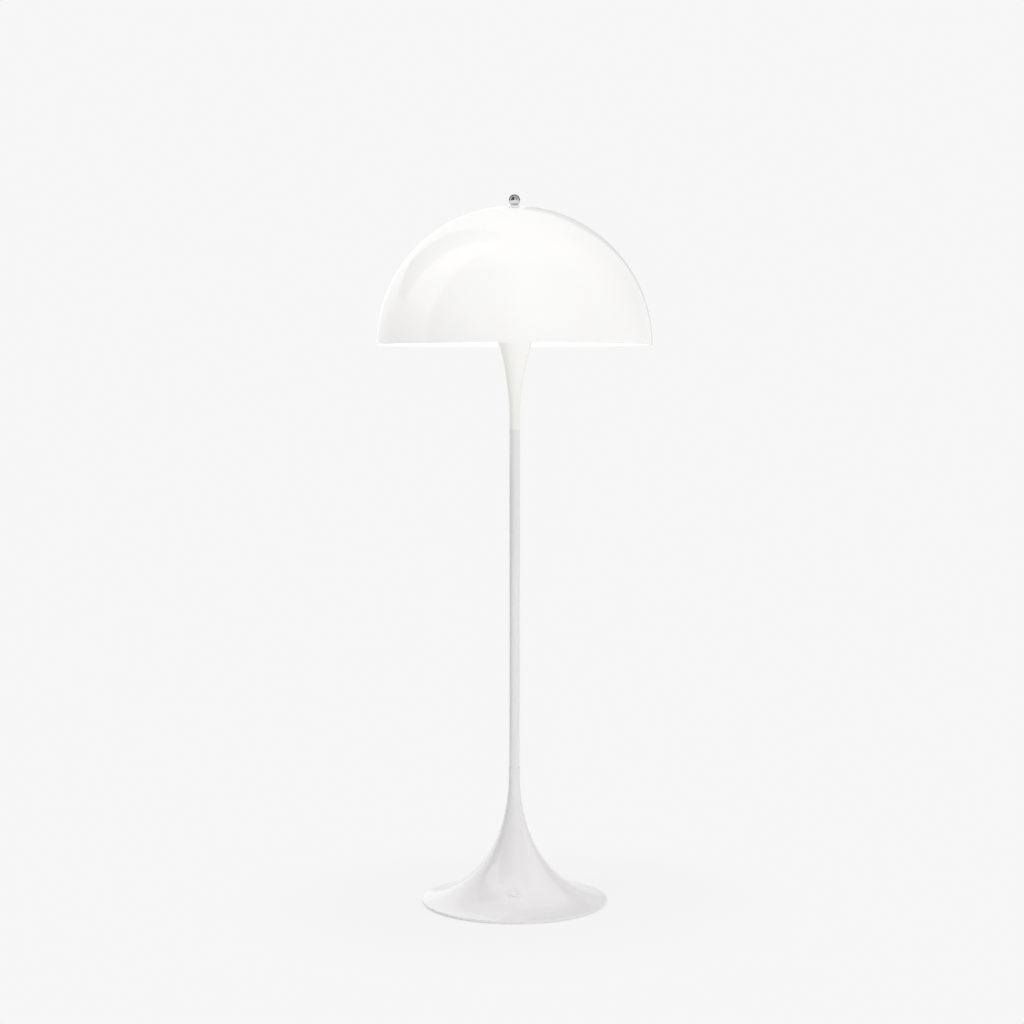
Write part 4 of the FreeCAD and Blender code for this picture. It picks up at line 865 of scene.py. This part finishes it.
class LAMP_OT_stage(bpy.types.Operator):
    """Camera, floor, background, lights and the dark boards that gloss and chrome mirror"""
    bl_idname = "lamp.stage"
    bl_label = "Studio"
    bl_options = {"REGISTER", "UNDO"}

    SENSOR, LENS = 36, 73.81
    CAMERA_PLACE = (-0.0044, -3.8236, 0.9606)
    CAMERA_TILT = 3.602  # degrees below level
    BACKGROUND = 0.9216
    SOFT_LIGHT, SOFT_STRENGTH = (1, 0.995, 0.998, 1), 0.76
    SHADOW_REACH = (0.17, 0.55)  # where the lamp's shadow starts to fade, and where it has gone
    PLAIN_SHARE = (0.82, 1.0)    # how much of the floor is plain background at these distances
    AIM = (0, 0, 0.7)
    SOFTBOXES = (  # name, size, place, watts
        ("High left softbox", (2.5, 2.5), (-2.5, -1.5, 6.5), 100),
        ("Right front softbox", (1.5, 1.0), (1.9, -3.2, 0.5), 22),
    )
    EYE_HEIGHT = 0.9
    BOARD_DISTANCE = 7.0
    BOARD_STEPS = 16
    FAR_BOARDS = (  # name, azimuths and elevations in degrees, grey
        ("dark_room_left", (-75, -4), (-4, 68), 0.10),
        ("dark_room_right", (-4, 75), (-4, 68), 0.52),
        ("dark_left_low", (-140, -75), (-4, 20), 0.95),
        ("dark_left_back", (-148, -114), (20, 80), 0.50),
        ("white_left", (-114, -75), (22, 80), 1.3),
        ("white_right", (77, 125), (0, 70), 1.0),
    )
    NEAR_BOARDS = (  # name, size, place, heading in degrees, grey, whether it is a flag
        ("white_left_foot", (1.4, 0.8), (-0.74, 1.0, 0.50), 0, 1.35),
        ("white_left_shade", (1.4, 0.8), (-0.74, 1.0, 1.30), 0, 1.05),
        ("grey_right_rim", (1.4, 0.32), (0.74, 1.0, 0.34), 0, 0.75),
        ("grey_right_foot", (1.4, 0.4), (0.74, 1.0, 0.70), 0, 0.50),
        ("grey_right_shade", (0.5, 1.0), (0.30, 1.0, 1.40), 0, 0.55),
        ("flag_left", (1.4, 0.8), (-1.02, -0.1, 0.45), 90, 0.2, True),
    )

    def board(self, name, mesh, grey, flag=False):
        """A grey studio board that only mirrors see, or a flag that also keeps soft light off."""
        board = place_object(name, mesh)
        board.visible_camera = board.visible_shadow = board.visible_transmission = False
        board.visible_diffuse = flag
        material = bpy.data.materials.new(name)
        material.use_nodes = True
        nodes = material.node_tree.nodes
        nodes.remove(nodes["Principled BSDF"])
        plain = nodes.new("ShaderNodeEmission")
        plain.inputs["Color"].default_value = (grey, grey, grey, 1)
        material.node_tree.links.new(plain.outputs[0], nodes["Material Output"].inputs["Surface"])
        board.data.materials.append(material)

    def far_board(self, name, azimuths, elevations, grey):
        """A curved board round the studio; azimuth 0 is the camera's side, and + its right."""
        mesh = bmesh.new()
        low, high = (math.radians(end) for end in elevations)
        left, right = (math.radians(end) for end in azimuths)
        mesh.verts.new(Matrix.Rotation(-low, 3, "X") @ Vector((0, -self.BOARD_DISTANCE, 0)))
        for axis, turn in (((-1, 0, 0), high - low), (UPRIGHT, right - left)):
            bmesh.ops.spin(mesh, geom=mesh.verts[:] + mesh.edges[:], cent=(0, 0, 0), axis=axis,
                           angle=turn, steps=self.BOARD_STEPS)
        place = Matrix.Translation((0, 0, self.EYE_HEIGHT)) @ Matrix.Rotation(left, 4, "Z")
        self.board(name, moved(seal(mesh), place), grey)

    def near_board(self, name, size, place, heading, grey, flag=False):
        """A flat upright board close to the lamp; its heading is its turn about the Z axis."""
        mesh = bmesh.new()
        upright = Matrix.Rotation(math.pi / 2, 4, "X")
        turn = Matrix.Rotation(math.radians(heading), 4, "Z")
        bmesh.ops.create_grid(mesh, x_segments=1, y_segments=1, size=0.5,
                              matrix=Matrix.Translation(place) @ turn @ upright
                              @ Matrix.Diagonal((*size, 1, 1)))
        self.board(name, mesh, grey, flag)

    def softbox(self, name, size, place, watts):
        """A soft lamp that points at the middle of the stand and isn't mirrored itself."""
        light = bpy.data.lights.new(name, "AREA")
        light.shape = "RECTANGLE"
        light.size, light.size_y = size
        light.energy = watts
        lamp = bpy.data.objects.new(name, light)
        bpy.context.scene.collection.objects.link(lamp)
        lamp.location = place
        lamp.rotation_mode = "QUATERNION"
        lamp.rotation_quaternion = (Vector(self.AIM) - Vector(place)).to_track_quat("-Z", "Y")
        lamp.visible_glossy = False

    def background_ray(self, nodes, links):
        """1 on rays that should see the plain background, 0 on rays that carry light."""
        path = nodes.new("ShaderNodeLightPath")
        total = path.outputs["Is Camera Ray"]
        for ray in ("Is Glossy Ray", "Is Transmission Ray"):
            add = nodes.new("ShaderNodeMath")
            add.use_clamp = True
            links.new(total, add.inputs[0])
            links.new(path.outputs[ray], add.inputs[1])
            total = add.outputs[0]
        return total

    def world(self, scene):
        """Even soft light, behind the plain background that the camera and mirrors see."""
        world = bpy.data.worlds.new("Studio")
        world.use_nodes = True
        nodes, links = world.node_tree.nodes, world.node_tree.links
        lighting = nodes["Background"]
        lighting.inputs["Color"].default_value = self.SOFT_LIGHT
        lighting.inputs["Strength"].default_value = self.SOFT_STRENGTH
        seen = nodes.new("ShaderNodeBackground")
        seen.inputs["Color"].default_value = (self.BACKGROUND,) * 3 + (1,)
        choose = nodes.new("ShaderNodeMixShader")
        links.new(self.background_ray(nodes, links), choose.inputs[0])
        links.new(lighting.outputs[0], choose.inputs[1])
        links.new(seen.outputs[0], choose.inputs[2])
        links.new(choose.outputs[0], nodes["World Output"].inputs["Surface"])
        scene.world = world

    def floor(self):
        """A pale floor: plain background far off, with the lamp's own shadow close to it."""
        mesh = bmesh.new()
        bmesh.ops.create_grid(mesh, x_segments=1, y_segments=1, size=60)
        floor = place_object("floor", mesh)
        material = bpy.data.materials.new("Studio floor")
        material.use_nodes = True
        nodes, links = material.node_tree.nodes, material.node_tree.links
        lit_floor = nodes["Principled BSDF"]
        lit_floor.inputs["Base Color"].default_value = (0.9, 0.9, 0.9, 1)
        lit_floor.inputs["Roughness"].default_value = 0.9
        lit_floor.inputs["Specular IOR Level"].default_value = 0
        plain = nodes.new("ShaderNodeEmission")
        plain.inputs["Color"].default_value = (self.BACKGROUND,) * 3 + (1,)
        where = nodes.new("ShaderNodeTexCoord")
        far = nodes.new("ShaderNodeVectorMath")
        far.operation = "LENGTH"
        links.new(where.outputs["Object"], far.inputs[0])
        fade = nodes.new("ShaderNodeMapRange")
        fade.interpolation_type = "SMOOTHSTEP"
        for name, value in zip(("From Min", "From Max"), self.SHADOW_REACH):
            fade.inputs[name].default_value = value
        for name, value in zip(("To Min", "To Max"), self.PLAIN_SHARE):
            fade.inputs[name].default_value = value
        links.new(far.outputs["Value"], fade.inputs["Value"])
        share = product(material.node_tree, self.background_ray(nodes, links),
                        fade.outputs["Result"])
        choose = nodes.new("ShaderNodeMixShader")
        links.new(share, choose.inputs[0])
        links.new(lit_floor.outputs[0], choose.inputs[1])
        links.new(plain.outputs[0], choose.inputs[2])
        links.new(choose.outputs[0], nodes["Material Output"].inputs["Surface"])
        floor.data.materials.append(material)

    def camera(self, scene):
        """The camera, a little below the shade's rim and tilted down."""
        data = bpy.data.cameras.new("Camera")
        data.sensor_width, data.lens = self.SENSOR, self.LENS
        camera = bpy.data.objects.new("Camera", data)
        scene.collection.objects.link(camera)
        camera.location = self.CAMERA_PLACE
        camera.rotation_euler = (math.radians(90 - self.CAMERA_TILT), 0, 0)
        scene.camera = camera

    def execute(self, context):
        scene = context.scene
        self.camera(scene)
        self.floor()
        self.world(scene)
        for softbox in self.SOFTBOXES:
            self.softbox(*softbox)
        for board in self.FAR_BOARDS:
            self.far_board(*board)
        for board in self.NEAR_BOARDS:
            self.near_board(*board)
        scene.view_settings.view_transform = "Standard"
        return {"FINISHED"}


class VIEW3D_PT_lamp(bpy.types.Panel):
    """Sizes and colours of the lamp, and a button for each of its operators"""
    bl_label = "Mushroom lamp"
    bl_idname = "VIEW3D_PT_lamp"
    bl_space_type = "VIEW_3D"
    bl_region_type = "UI"
    bl_category = "Lamp"

    def draw(self, context):
        for name in SETTINGS:
            box = self.layout.box()
            box.label(text=name.replace("_", " ").capitalize())
            settings = getattr(context.scene, name)
            for prop in settings.__annotations__:
                box.prop(settings, prop)
        for operator in OPERATORS:
            self.layout.operator(operator.bl_idname)


SETTINGS = {
    "lamp_shade": LampShadeSizes,
    "lamp_stem": LampStemSizes,
    "lamp_foot": LampFootSizes,
    "lamp_bulbs": LampBulbSizes,
    "lamp_colours": LampColours,
    "lamp_detail": LampDetail,
}
OPERATORS = (
    LAMP_OT_stage, LAMP_OT_solids, LAMP_OT_shade, LAMP_OT_finial, LAMP_OT_neck, LAMP_OT_stem,
    LAMP_OT_foot, LAMP_OT_button, LAMP_OT_bulbs, LAMP_OT_stud,
)


def register():
    for settings in SETTINGS.values():
        bpy.utils.register_class(settings)
    for name, settings in SETTINGS.items():
        setattr(bpy.types.Scene, name, PointerProperty(type=settings))
    for operator in OPERATORS:
        bpy.utils.register_class(operator)
    bpy.utils.register_class(VIEW3D_PT_lamp)


def unregister():
    bpy.utils.unregister_class(VIEW3D_PT_lamp)
    for operator in reversed(OPERATORS):
        bpy.utils.unregister_class(operator)
    for name, settings in SETTINGS.items():
        delattr(bpy.types.Scene, name)
        bpy.utils.unregister_class(settings)


def main():
    register()
    bpy.ops.lamp.stage()
    bpy.ops.lamp.solids()
    bpy.ops.lamp.shade()
    bpy.ops.lamp.finial()
    bpy.ops.lamp.neck()
    bpy.ops.lamp.stem()
    bpy.ops.lamp.foot()
    bpy.ops.lamp.button()
    bpy.ops.lamp.bulbs()
    bpy.ops.lamp.stud()


if __name__ == "__main__":
    main()
